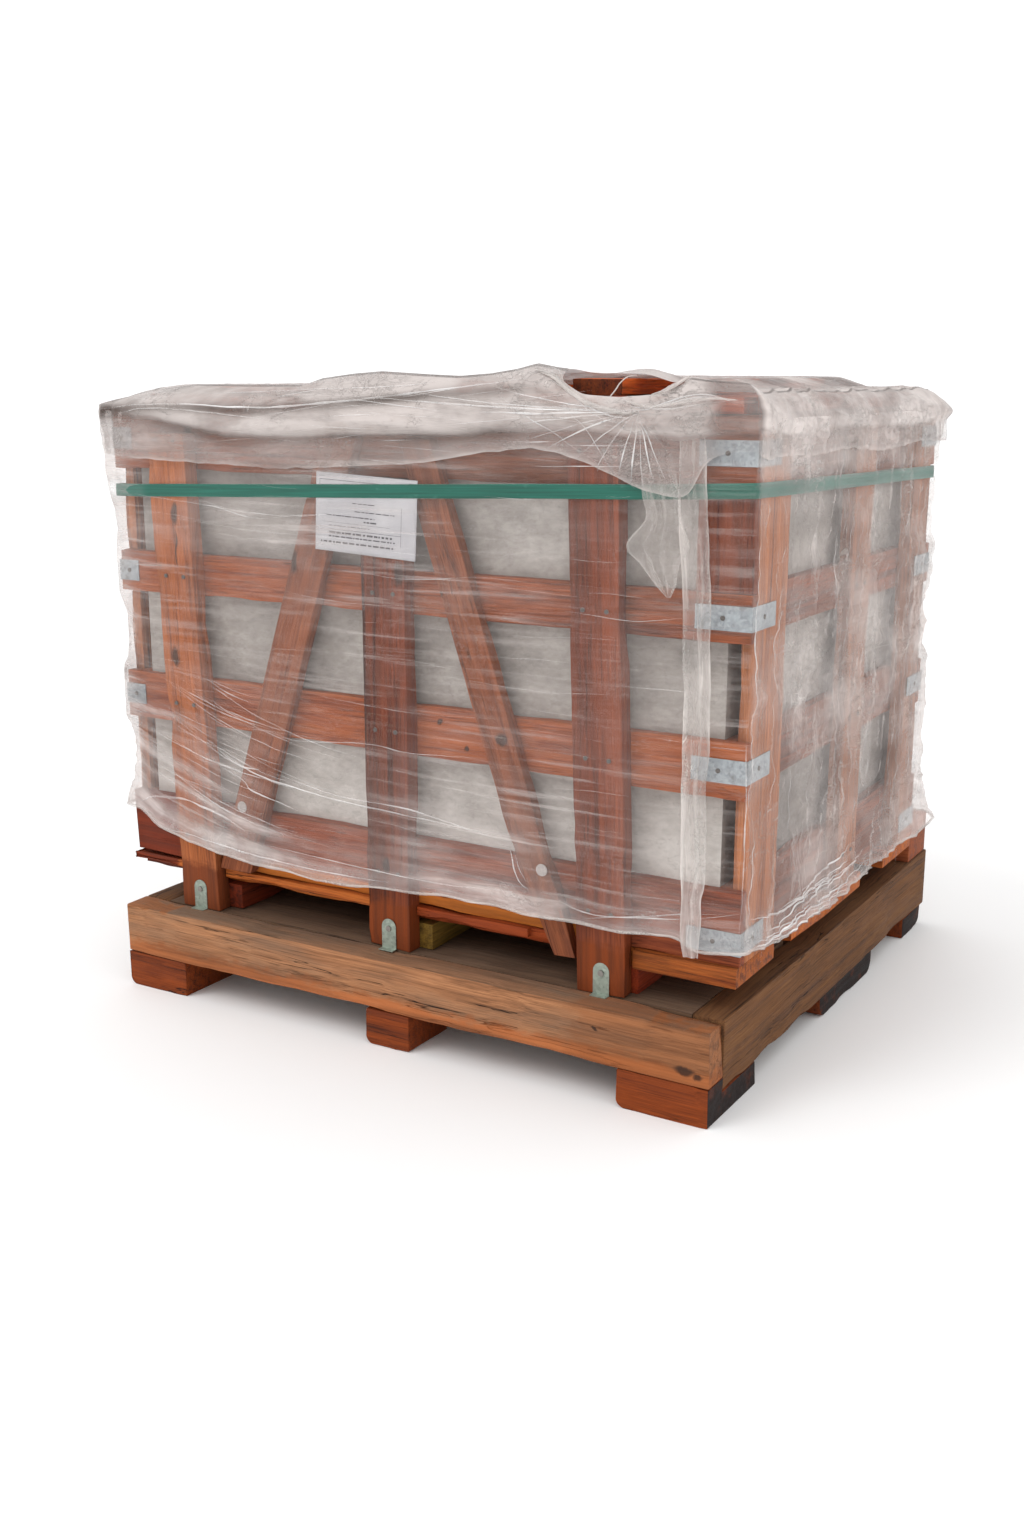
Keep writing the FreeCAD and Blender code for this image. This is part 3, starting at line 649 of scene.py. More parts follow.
def timber(node, kind, tones=(), axis=None, edge=2.2, chips=5.0, bow=0.8, cell=0.03):
    """The weathered timbers that stand for one CAD node. tones darken or lighten them in turn, about -1 to 1; a
    pair of lists gives the tone by x."""
    points, faces, grain, tone, worn = [], [], [], [], []
    for i, part in enumerate(solids(node)):
        seed = RNG.uniform(3, 60)
        shift = (RNG.uniform(0, 30), RNG.uniform(0, 30), RNG.uniform(0, 30))
        p, f, g, w = weathered(part, axis, edge * MM, chips * MM, bow * MM, seed, cell)
        start = len(points)
        points += p
        faces += [[k + start for k in face] for face in f]
        grain += [tuple(a + b for a, b in zip(row, shift)) for row in g]
        worn += w
        shade = tones[i % len(tones)] if tones else RNG.uniform(-0.6, 0.6)
        tone += [float(np.interp(q.x, *shade)) for q in p] if isinstance(shade, tuple) else [shade] * len(p)
    body = frame["nodes"][node]["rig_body"]
    obj = built(f"{node}_timber", points, faces, WOODS[kind], body, sharp=38, grain=grain, tone=tone, wear=worn)
    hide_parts(node)


ALONG_X, ALONG_Y = (1, 0, 0), (0, 1, 0)
# Every beam but the front one takes the darker copy of the pallet timber, which is painted shade.
for side, beam_tone in (("front", 0.0), ("right", -0.1), ("left", 0.1), ("rear", 0.2)):
    timber(f"pallet_beam_{side}", "pallet" if side == "front" else "shaded_beam_side", (beam_tone,), edge=4,
           chips=7)
timber("pallet_stringer", "deck")
timber("pallet_deck_boards", "deck", edge=2.5)
for spot, foot_axis, foot_tone in (
    ("front_left", ALONG_X, 0.2), ("front_middle", ALONG_X, 0.2), ("front_right", ALONG_X, 0.2),
    ("rear_middle", ALONG_X, 0.2), ("right_middle", ALONG_Y, -0.9), ("left_middle", ALONG_Y, 0.2),
    ("rear_right", ALONG_Y, -0.9), ("rear_left", ALONG_Y, 0.2),
):
    timber(f"foot_{spot}", "foot", (foot_tone,), axis=foot_axis, edge=4, chips=7, bow=0.5, cell=0.015)
timber("bearer_left", "bearer", (-1.8,))
timber("bearer_mid", "yellow", (-0.4,))
timber("bearer_right", "bearer", (0.4,))
timber("rear_sill", "rail", (-0.5,), edge=3)
PLANK_TONES = ((-0.67, -0.57, -0.54, 0.4, 0.47, 0.67), (-0.6, -0.4, 0.6, 0.6, -1.2, -1.2))
for i in (1, 2, 3, 4):
    timber(f"floor_plank_{i}", "plank", (PLANK_TONES if i == 1 else 0.0,), axis=ALONG_X, edge=2.5,
           chips=8)
RAIL_TONES = {
    "bottom": ((-0.67, 0.5), (-0.3, -0.2)),
    "lower": 0.6,
    "upper": ((-0.67, 0.1, 0.3, 0.67), (0.1, 0.1, -1.2, -1.4)),
    "top": ((-0.67, -0.3, 0.0, 0.67), (-0.3, -0.8, -1.4, -1.3)),
}
for rail, rail_tone in RAIL_TONES.items():
    timber(f"front_rail_{rail}", "rail_bottom" if rail == "bottom" else "rail", (rail_tone,))
timber("right_rails", "rail", (-1.6,))
timber("rear_rails", "rail")
timber("left_rails", "rail")
timber("front_cleat", "post", (-0.2,))
POST_TONES = {
    "left": 0.1,
    "middle": ((-0.059, -0.02, 0.035), (-1.8, -1.5, -0.4)),
    "right": ((0.36, 0.41, 0.44, 0.478), (-0.8, -0.5, 0.4, 1.0)),
}
for side, post_tone in POST_TONES.items():
    timber(f"front_post_{side}", "post_left" if side == "left" else "post", (post_tone,), chips=9,
           bow=2.0)
    timber(f"rear_post_{side}", "post")
timber("front_brace_left", "brace", (0.0,), chips=7)
timber("front_brace_right", "brace", (-0.1,), chips=7)
for spot, upright_tone in (("near", -0.5), ("middle", -1.6), ("far", -1.6)):
    timber(f"right_upright_{spot}", "upright", (upright_tone,))
timber("left_uprights", "upright")
timber("lid_slats", "lid")
timber("lid_ledgers", "ledger")


# ---------------------------------------------------------------- hardware and liners: CAD shapes in better finishes

def finish_node(node, material, edge=0.0):
    obj = frame["nodes"][node]
    obj.data.materials.clear()
    obj.data.materials.append(material)
    if edge:
        weld = obj.modifiers.new("weld", "WELD")
        weld.merge_threshold = 1e-5
        bevel = obj.modifiers.new("edge", "BEVEL")
        bevel.width = edge * MM
        bevel.segments = 2
        bevel.limit_method = "ANGLE"


for name in ("liner_front", "liner_rear", "liner_left", "liner_right"):
    finish_node(name, LINER)
finish_node("corner_strips", ZINC, 0.4)
finish_node("post_ties", TIE_ZINC, 0.4)
finish_node("tie_screws", SCREW, 0.7)
finish_node("nails", STEEL, 0.4)
finish_node("cap_nails", CAP, 0.5)
finish_node("label_staples", STEEL)


# ---------------------------------------------------------------- the loops that the strap and the film follow

film_low, film_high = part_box("film_wrap")
rail_low, rail_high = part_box("front_rail_top")
rear_rail_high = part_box("rear_rails")[1]
left_post, right_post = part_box("front_post_left"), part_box("front_post_right")
rear_post_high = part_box("rear_post_left")[1]
HULL_LEFT = left_post[0].x - 0.006
HULL_RIGHT = right_post[1].x + 0.003
# How far the strap and the film lie off the crate, and the cover off the film.
STRAP_GAP, FILM_GAP, COVER_GAP = 0.0022, 0.0055, 0.0075


def hull(gap):
    """Corners of the loop that a tight band takes round the crate and its posts, this far outside them."""
    x0, x1 = rail_low.x - gap, rail_high.x + gap
    y0, y1 = rail_low.y - gap, rear_rail_high.y + gap
    post_y, rear_post_y = left_post[0].y - gap, rear_post_high.y + gap
    return [(x0, y0), (HULL_LEFT, post_y), (HULL_RIGHT, post_y), (x1, y0), (x1, y1), (HULL_RIGHT, rear_post_y),
            (HULL_LEFT, rear_post_y), (x0, y1)]


def loop_line(corners, spacing, rounds):
    """Even samples round a closed loop with its corners softened, their outward normals and the distance along."""
    ring = np.array(corners + corners[:1], float)
    along = lengths_along(ring)
    count = int(along[-1] / spacing)
    at = np.arange(count) * along[-1] / count
    line = softened(np.stack([np.interp(at, along, ring[:, k]) for k in range(2)], axis=1), rounds)
    tangent = np.roll(line, -1, 0) - np.roll(line, 1, 0)
    tangent /= np.linalg.norm(tangent, axis=1)[:, None]
    return line, np.stack([tangent[:, 1], -tangent[:, 0]], axis=1), at


# ---------------------------------------------------------------- strap

STRAP_HALF = 0.012
strap_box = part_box("strap")
strap_mid = (strap_box[0].z + strap_box[1].z) / 2
STRAP_RISE = (0.0328, -0.0168)    # climb per metre along X and along Y


def strap_height(x, y):
    return strap_mid + STRAP_RISE[0] * x + STRAP_RISE[1] * (y - (strap_box[0].y + strap_box[1].y) / 2)


line, outward, along = loop_line(hull(STRAP_GAP), 0.006, 3)
count = len(line)
sway = ripple(spots_at(*line.T), (3, 3, 3), 7.0)
profile = [(-1, 0.0002), (-0.9, 0.0009), (0, 0.0011), (0.9, 0.0009), (1, 0.0002), (0.9, -0.0002), (-0.9, -0.0002)]
points, flow = [], []
for across, out in profile:
    twist = 0.0006 * across * ripple(spots_at(*line.T), (5, 5, 5), 2.0)
    at = line + outward * (out + twist)[:, None]
    z = strap_height(line[:, 0], line[:, 1]) + across * STRAP_HALF + 0.0012 * sway
    points.append(np.column_stack([at, z]))
    flow.append(spots_at(along, np.full(count, across * STRAP_HALF)))
strap = built("strap_green", np.vstack(points), grid_faces(len(profile), count, True, True), STRAP, "crate", sharp=50,
              flow=np.vstack(flow))
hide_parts("strap")


# ---------------------------------------------------------------- label

label_low, label_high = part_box("label")
LABEL_W, LABEL_H, LABEL_TILT = 0.216, 0.138, math.radians(2.8)
label_origin = Vector((label_low.x, label_low.y, label_high.z))


def on_label(u, v, lift=0.0):
    """A point on the label's face, u to the right and v down from its upper left corner, in metres."""
    c, s = math.cos(LABEL_TILT), math.sin(LABEL_TILT)
    curl = (0.0012 * math.sin(9 * u + 1) * math.sin(14 * v)
            - 0.004 * max(0.0, v / LABEL_H - 0.86) ** 2 * 40 * (u / LABEL_W))
    return (label_origin.x + LABEL_H * s + u * c - v * s, label_origin.y - 0.0006 - abs(curl) * 0.4 - lift,
            label_origin.z - u * s - v * c)


columns, rows = 37, 25
points = [on_label(LABEL_W * c / (columns - 1), LABEL_H * r / (rows - 1)) for r in range(rows) for c in range(columns)]
label = built("label_sheet", points, grid_faces(rows, columns), PAPER, "crate")
solid = label.modifiers.new("thickness", "SOLIDIFY")
solid.thickness = 0.0002
solid.offset = 0
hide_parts("label")


def ink_bar(points, faces, u0, u1, v0, v1):
    """One printed bar, bent with the paper."""
    pieces = max(1, int((u1 - u0) / 0.008))
    for i in range(pieces):
        start = len(points)
        for u, v in ((0, v0), (0, v1), (1, v1), (1, v0)):
            points.append(on_label(u0 + (u1 - u0) * (i + u) / pieces, v, 0.00025))
        faces.append((start, start + 1, start + 2, start + 3))


points, faces = [], []
for u0, u1, v0, v1 in ((0.008, 0.2, 0.012, 0.0128), (0.008, 0.0088, 0.012, 0.03), (0.199, 0.1998, 0.012, 0.03),
                       (0.008, 0.2, 0.029, 0.0298), (0.03, 0.185, 0.098, 0.0986), (0.184, 0.1846, 0.05, 0.118),
                       (0.015, 0.16, 0.086, 0.0864)):
    ink_bar(points, faces, u0, u1, v0, v1)
text = random.Random(11)
for v, u0, u1, tall in ((0.019, 0.06, 0.165, 0.003), (0.036, 0.024, 0.06, 0.0016), (0.05, 0.08, 0.13, 0.0016),
                        (0.064, 0.085, 0.17, 0.0016), (0.074, 0.022, 0.128, 0.002), (0.081, 0.105, 0.132, 0.0026),
                        (0.092, 0.03, 0.118, 0.0014), (0.104, 0.03, 0.166, 0.0034), (0.111, 0.03, 0.172, 0.0022),
                        (0.121, 0.012, 0.172, 0.003)):
    u = u0
    while u < u1:
        wide = text.uniform(0.003, 0.014)
        ink_bar(points, faces, u, min(u + wide, u1), v - tall / 2, v + tall / 2)
        u += wide + text.uniform(0.0015, 0.0035)
print_marks = built("label_marks", points, faces, INK, "crate", smooth=False)


# ---------------------------------------------------------------- stretch film round the four sides

# Height of the hem above the CAD film's lower edge, along the front (by x) and the right side (by y).
HEM_FRONT = mm(-700, 70, -630, 67, -536, 38, -441, 12, -330, 7, -213, -1, -118, -3, 38, 6, 129, 14, 273, 11, 353, 10,
               481, 10, 570, 16, 592, -10, 640, -4, 700, 0)
HEM_RIGHT = mm(-550, 0, -500, -3, -371, -25, -121, -36, 174, -25, 360, -28, 460, -12, 500, 4)
# How far the film stands out (or is drawn in) at the near left corner and the far right corner, by height.
LEFT_CORNER = mm(300, 4, 385, 4, 402, -8, 450, -18, 490, -20, 520, -10, 533, 4, 636, 4, 660, -10, 700, -16, 750, -14,
                 785, 3, 875, 4, 910, -2, 950, 2, 979, 12, 1030, 22, 1050, 20, 1100, 28)
RIGHT_CORNER = mm(240, 45, 290, 40, 330, 22, 372, 10, 437, 4, 533, 4, 636, 4, 660, -10, 760, -10, 785, 4, 875, 4,
                  900, -10, 1005, -12, 1026, 4, 1050, 4, 1100, 8)
# Upper edge of the bundle of folds that fans out from the near left corner, along the front.
FAN = mm(-690, 600, -515, 561, -404, 500, -353, 482, -286, 463, -119, 443, 46, 435, 208, 428, 690, 420)

COLUMN, POST_W = 0.007, 0.093
line, outward, along = loop_line(hull(FILM_GAP), COLUMN, 3)
columns = len(line)
x, y = line[:, 0], line[:, 1]
front_side = (outward[:, 1] < -0.5)
right_side = (outward[:, 0] > 0.7)
left_side = (outward[:, 0] < -0.7)
hem = table(HEM_FRONT, x) * front_side + table(HEM_RIGHT, y) * right_side
hem[left_side] = np.interp(y[left_side], (-0.52, -0.3, 0.1, 0.45), (0.07, 0.045, 0.01, 0.02))
rear_side = ~(front_side | right_side | left_side)
hem[rear_side] = np.interp(x[rear_side], (-0.68, -0.3, 0.1, 0.4, 0.68), (0.02, -0.02, -0.03, -0.01, 0.004))
hem = film_low.z + softened(hem, 6) + 0.004 * ripple(spots_at(x, y), (14, 14, 1), 4.0)
ROWS = int((film_high.z - film_low.z) / COLUMN)
t = np.linspace(0, 1, ROWS)[:, None]
z = hem[None, :] + t * (film_high.z - hem)[None, :]
X, Y, S = (np.broadcast_to(a, z.shape) for a in (x, y, along))
flat = spots_at(S, z)
fan_line = table(FAN, X)
below_fan = np.clip((z - hem[None, :]) / (fan_line - hem[None, :]), 0, 1)
hem_rise = hem[None, :] - film_low.z
slip = (hem_rise + (fan_line - 0.43 - hem_rise) * below_fan) * (1 - step(0.46, 0.74, z)) * front_side
warped = spots_at(S, z - slip)


def field(make, *arguments):
    return make(flat, *arguments).reshape(z.shape)


front = np.broadcast_to(front_side, z.shape).astype(float)
right = np.broadcast_to(right_side, z.shape).astype(float)
above_hem = z - hem[None, :]
lower_left = front * step(-0.1, -0.4, X) * step(0.62, 0.42, z)
out = 0.0022 * field(ripple, (3.0, 5.0, 1.0), 1.0)
out += 0.001 * field(ripple, (5.0, 75.0, 1.0), 2.0) * (0.4 + front)
slant = spots_at(S * 1.2, z + 0.42 * X)
out += lower_left * 0.0045 * ridges(slant, (2.2, 34.0, 1.0), 3.0).reshape(z.shape)
crumple = (0.0042 * field(ridges, (16.0, 7.0, 1.0), 5.0) + 0.0026 * field(ripple, (24.0, 13.0, 1.0), 6.0)
           + 0.003 * field(ridges, (9.0, 21.0, 1.0), 8.0))
out += (right + 0.6 * (1 - front)) * crumple
out += np.exp(-above_hem / 0.022) * (0.005 + 0.006 * field(ripple, (11.0, 2.0, 1.0), 9.0))
corner_left = np.exp(-(((X - rail_low.x) ** 2 + (Y - rail_low.y) ** 2) / 0.05 ** 2))
corner_right = np.exp(-(((X - rail_high.x) ** 2 + (Y - rear_rail_high.y) ** 2) / 0.075 ** 2))
corner_near = np.exp(-(((X - rail_high.x) ** 2 + (Y - rail_low.y) ** 2) / 0.03 ** 2))
out += 0.003 * corner_near * field(ripple, (2.0, 22.0, 1.0), 12.0)
strap_at = strap_height(X, Y)
over = front * step(0.565, 0.545, X) * step(-0.672, -0.664, X)      # here the strap lies outside the film
PRESS = 0.0043    # how far the strap pushes the film in
out = out * (1 - 0.8 * over * near(z, strap_at, 0.03)) - over * PRESS * near(z, strap_at, 0.018)
out += over * 0.0035 * (near(z, strap_at - 0.03, 0.01) + near(z, strap_at + 0.03, 0.01)) * (
    0.5 + 0.5 * field(ripple, (9.0, 3.0, 1.0), 13.0))
out = np.maximum(out, -PRESS)
PX = X + outward[None, :, 0] * out - corner_left * table(LEFT_CORNER, z)
PY = Y + outward[None, :, 1] * out + corner_right * table(RIGHT_CORNER, z)
PX = PX + corner_right * np.maximum(table(RIGHT_CORNER, z), -0.008) * 0.5
fan = front * step(0.05, -0.02, z - fan_line) * step(0.5, 0.05, X)
streaks = spots_at(X * 1.8, (z - slip) * 44)
streaks = np.clip(ripple(streaks, (1, 1, 1), 33.0).reshape(z.shape) + 0.1, 0, 1)
haze = (0.09 + 0.24 * right + 0.24 * (1 - front) * (1 - right) + 0.56 * fan * streaks
        + 0.07 * front * step(0.7, 0.95, z) * step(0.1, -0.3, X)
        + 0.22 * np.exp(-above_hem / 0.012) + 0.13 * np.exp(-above_hem / 0.05) + 0.13 * near(above_hem, 0.03, 0.01)
        + 0.27 * corner_left + 0.03 * corner_near + 0.18 * corner_right
        + 0.05 * front * step(0.56, 0.4, z) + 0.06 * front * near(z, 0.95, 0.06)
        + 0.06 * front * step(1.0, 1.1, z)
        + 0.2 * right * step(0.95, 1.1, z))
upright = np.broadcast_to(right_side | left_side, z.shape).astype(float)
# The film is clearer where it is pressed against the posts and the strap.
for post in ("left", "middle", "right"):
    low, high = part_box(f"front_post_{post}")
    lean = high.x - low.x - POST_W
    at_x = high.x - POST_W / 2 - lean * (z - low.z) / (high.z - low.z)
    haze *= 1 - 0.35 * front * near(X, at_x, POST_W * 0.5) * step(high.z, high.z - 0.02, z)
haze *= 1 - (0.55 + 0.2 * right) * near(z, strap_at, 0.015)
haze *= 1 - 0.45 * right * near(Y, rail_low.y + 0.06, 0.07)
haze *= 1 - 0.55 * front * step(0.585, 0.605, X)
haze *= 0.75 + 0.5 * field(ripple, (2.4, 3.6, 1.0), 15.0)
wrap = built("wrap_sheet", spots_at(PX, PY, z), grid_faces(ROWS, columns, True), WRAP_FILM, "crate",
             haze=np.clip(haze, 0.02, 0.9).ravel(), flow=warped, upright=upright.ravel())
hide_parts("film_wrap")


def tube(name, path, radius, body, haze_value, sides=9, seed=0.0, lumpy=0.35, closed=False):
    """A rope of gathered film along a path: a lumpy twisted tube."""
    path = np.asarray(path, float)
    n = len(path)
    radius = np.broadcast_to(radius, n)
    if closed:
        tangent = np.roll(path, -1, 0) - np.roll(path, 1, 0)
    else:
        tangent = np.gradient(path, axis=0)
    tangent /= np.linalg.norm(tangent, axis=1)[:, None]
    side = np.cross(tangent, (0.0, 0.0, 1.0))
    flat_run = np.linalg.norm(side, axis=1) < 0.3
    side[flat_run] = np.cross(tangent[flat_run], (0.0, 1.0, 0.0))
    side /= np.linalg.norm(side, axis=1)[:, None]
    up = np.cross(side, tangent)
    steps = lengths_along(path)
    points, flow = [], []
    for k in range(n):
        for j in range(sides):
            angle = 2 * math.pi * j / sides + steps[k] * 30
            c, s = math.cos(angle), math.sin(angle)
            r = radius[k] * (1 + lumpy * noise.noise(Vector((steps[k] * 45 + seed, 1.6 * c, 1.6 * s))))
            points.append(path[k] + r * (side[k] * c + up[k] * s))
            flow.append((steps[k], j / sides * 2 * math.pi * radius[k] + seed, 0))
    faces = grid_faces(n, sides, True, closed)
    if not closed:
        faces += [tuple(range(sides))[::-1], tuple(range((n - 1) * sides, n * sides))]
    obj = built(name, points, faces, ROLL_FILM, body, haze=np.full(len(points), haze_value), flow=flow)
    return obj


hem_path = spots_at(PX[0], PY[0], z[0])
swell = 0.0026 + 0.0022 * np.clip(ripple(spots_at(along), (7, 1, 1), 21.0), -0.6, 1)
hem_roll = tube("wrap_hem", hem_path, swell, "crate", 0.42, closed=True, seed=3.0)


# ---------------------------------------------------------------- gathered tail of the film near the front right corner

def front_y(x, gap=0.0):
    """How far forward the tight film lies on the front at x."""
    rail_y, post_y = rail_low.y - FILM_GAP - gap, left_post[0].y - FILM_GAP - gap
    return np.interp(x, (rail_low.x, HULL_LEFT, HULL_RIGHT, rail_high.x), (rail_y, post_y, post_y, rail_y))


def ribbon(name, path, widths, folds, depth, body, haze_edge, haze_mid, seed, lift=0.0, columns=17):
    """A hanging band of film on the front: folded lengthwise into flutes, as wide as given at each point of its path.
    The path is (x, z) and the band lies just outside the tight film."""
    run = through([(*p, w) for p, w in zip(path, widths)], 0.006)
    points, haze, flow = [], [], []
    for k, (px, pz, width) in enumerate(run):
        for c in range(columns):
            f = 2 * c / (columns - 1) - 1
            wave = math.sin(f * folds * math.pi + 2.2 * noise.noise(Vector((pz * 5, seed, 0))))
            x = px + f * width / 2 + 0.003 * noise.noise(Vector((f * 3, pz * 12, seed)))
            out = depth * (0.5 + 0.5 * wave) * (1 - 0.4 * f * f) + 0.0025 * noise.noise(Vector((f * 4, pz * 30, seed)))
            points.append((x, float(front_y(x, lift)) - 0.0045 - max(out, -0.002), pz))
            squeeze = min(1.0, 0.03 / max(width, 0.008))
            value = haze_mid + (haze_edge - haze_mid) * max(abs(f) ** 8, 0.5 * (wave > 0.85)) + 0.25 * squeeze ** 2
            haze.append(value * min(1.0, 0.05 + k / 9))
            flow.append((pz * 1.3 + seed, f * width * 0.8, seed))
    return built(name, points, grid_faces(len(run), columns), ROLL_FILM, body, haze=np.clip(haze, 0, 0.95), flow=flow)


TAIL_PATH = mm(572, 1135, 574, 1100, 575, 1015, 586, 850, 590, 700, 591, 610, 589, 556, 591, 500, 592, 400, 590, 366,
               591, 330, 590, 295, 592, 266)
TAIL_WIDTHS = (0.028, 0.04, 0.045, 0.044, 0.043, 0.042, 0.04, 0.041, 0.04, 0.033, 0.034, 0.03, 0.024)
tail = ribbon("wrap_tail", TAIL_PATH, TAIL_WIDTHS, 1.7, 0.004, "crate", 0.46, 0.13, 31.0)


# ---------------------------------------------------------------- torn top cover

lid_low, lid_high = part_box("lid_slats")
ledger_low, ledger_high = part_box("lid_ledgers")
LEDGER_W, LEDGER_PITCH = 0.092, 0.41
ledger_mid = (ledger_low.x + ledger_high.x) / 2
# Heights of the cover's ridge, of the lower edge of its doubled milky band and of its last edge, along the front.
RIDGE = mm(-690, -46, -600, -40, -575, -26, -540, -20, -450, -11, -330, -12, -200, -11, -160, 0, -90, 8, -30, 12,
           60, 7, 130, 4, 190, 8, 240, 15, 280, 24, 320, 17, 360, 14, 448, 10, 530, 4, 576, -2,
           690, -10)
FOLD = mm(-690, 1140, -565, 1152, -450, 1156, -256, 1152, -54, 1167, 122, 1185, 298, 1193, 400, 1165,
          690, 1165)
BAND = mm(-690, 1118, -620, 1132, -574, 1138, -452, 1137, -380, 1122, -287, 1101, -180, 1105, -75, 1112, 121, 1113,
          252, 1124, 360, 1128, 460, 1120, 550, 1120, 690, 1130)
LAST = mm(-690, 1062, -560, 1056, -400, 1050, -182, 1043, 79, 1061, 200, 1082, 274, 1090, 326, 1086, 378, 1070,
          428, 1050, 478, 1029, 515, 1020, 548, 1024, 562, 1075, 600, 1090, 690, 1096)
TOP_X, TOP_Y, SIDE_ROWS = 176, 122, 40
HOLE_X = (0.338, 0.549)
HOLE_BACK = 0.055

LEDGER_THIN = 0.014
gx = np.linspace(lid_low.x - 0.004, lid_high.x + 0.006, TOP_X)
gy = np.linspace(lid_low.y - 0.004, lid_high.y + 0.006, TOP_Y)


def off_ledgers(x):
    """How far x is from the middle of the nearest ledger."""
    return np.min([np.abs(x - ledger_mid - k * LEDGER_PITCH) for k in (-1, 0, 1)], axis=0)


def top_height(x, y):
    """The cover over the lid: up over the ledgers, slack between them and falling away at the two ends."""
    off = off_ledgers(x) - LEDGER_W / 2
    slack = step(0.0, 0.12, off)
    inner = np.abs(x - ledger_mid) < LEDGER_PITCH
    drop = np.where(inner, 0.013, 0.024) * slack
    thin = LEDGER_THIN * step(-0.16, -0.24, x)
    drop = np.where(x < -0.24, np.minimum(drop, 0.01 * slack), drop)
    edge = np.minimum(y - ledger_low.y, ledger_high.y - y)
    right_end = step(ledger_high.x, ledger_high.x + 0.1, x)
    drop = drop * (0.55 + 0.45 * np.maximum(step(0.0, 0.14, edge), right_end))
    at = spots_at(x, y)
    rough = (0.003 * ridges(at, (5, 13, 1), 3.0) + 0.0024 * ripple(at, (7, 9, 1), 5.0)
             + 0.0016 * ridges(at, (19, 15, 1), 9.0))
    bump = 0.012 * near(x, 0.43, 0.05) * near(y, gy[0] + 0.1, 0.05) + 0.008 * near(x, 0.0, 0.09) * near(y, 0.25, 0.2)
    return ledger_high.z + 0.003 - drop - thin + rough * (0.4 + slack) + bump


GX, GY = np.meshgrid(gx, gy)
GX, GY = GX.ravel(), GY.ravel()
top_points = spots_at(GX, GY, top_height(GX, GY))
edge_gap = np.minimum.reduce([GX - gx[0], gx[-1] - GX, GY - gy[0], gy[-1] - GY])
ridge_in = table(RIDGE, GX) + ledger_high.z
blend_in = 1 - step(0.0, 0.06, GY - gy[0])
top_points[:, 2] = top_points[:, 2] * (1 - blend_in) + ridge_in * blend_in
rim = ([c for c in range(TOP_X)] + [r * TOP_X + TOP_X - 1 for r in range(1, TOP_Y)]
       + [(TOP_Y - 1) * TOP_X + c for c in range(TOP_X - 2, -1, -1)] + [r * TOP_X for r in range(TOP_Y - 2, 0, -1)])
rim_points = top_points[rim]
n = len(rim)
rx, ry = rim_points[:, 0], rim_points[:, 1]
on_front = ry <= gy[0] + 1e-6
on_rear = ry >= gy[-1] - 1e-6
on_right = rx >= gx[-1] - 1e-6
on_left = rx <= gx[0] + 1e-6
ox = np.interp(rx, (gx[0], 0.0, gx[-1]), (rail_low.x - 0.011, 0.0, rail_high.x + 0.011))
front_out = front_y(ox, COVER_GAP)
rear_out = -front_out + rail_low.y + rear_rail_high.y
mid_y = (gy[0] + gy[-1]) / 2
oy = np.where(on_front, front_out, np.where(on_rear, rear_out, mid_y + (ry - mid_y) * 1.035))
corner = np.maximum(near(rx, gx[-1], 0.05), near(rx, gx[0], 0.05))
corner = corner * np.maximum(near(ry, gy[0], 0.05), near(ry, gy[-1], 0.05))
along = lengths_along(np.column_stack([ox, oy]))
flat_rim = spots_at(along)


def rim_height(rows, elsewhere, sway, turns, seed):
    """Heights round the rim: from the table along the front, and wandering about one height elsewhere."""
    return np.where(on_front, table(rows, rx), elsewhere + sway * ripple(flat_rim, (turns, 1, 1), seed))


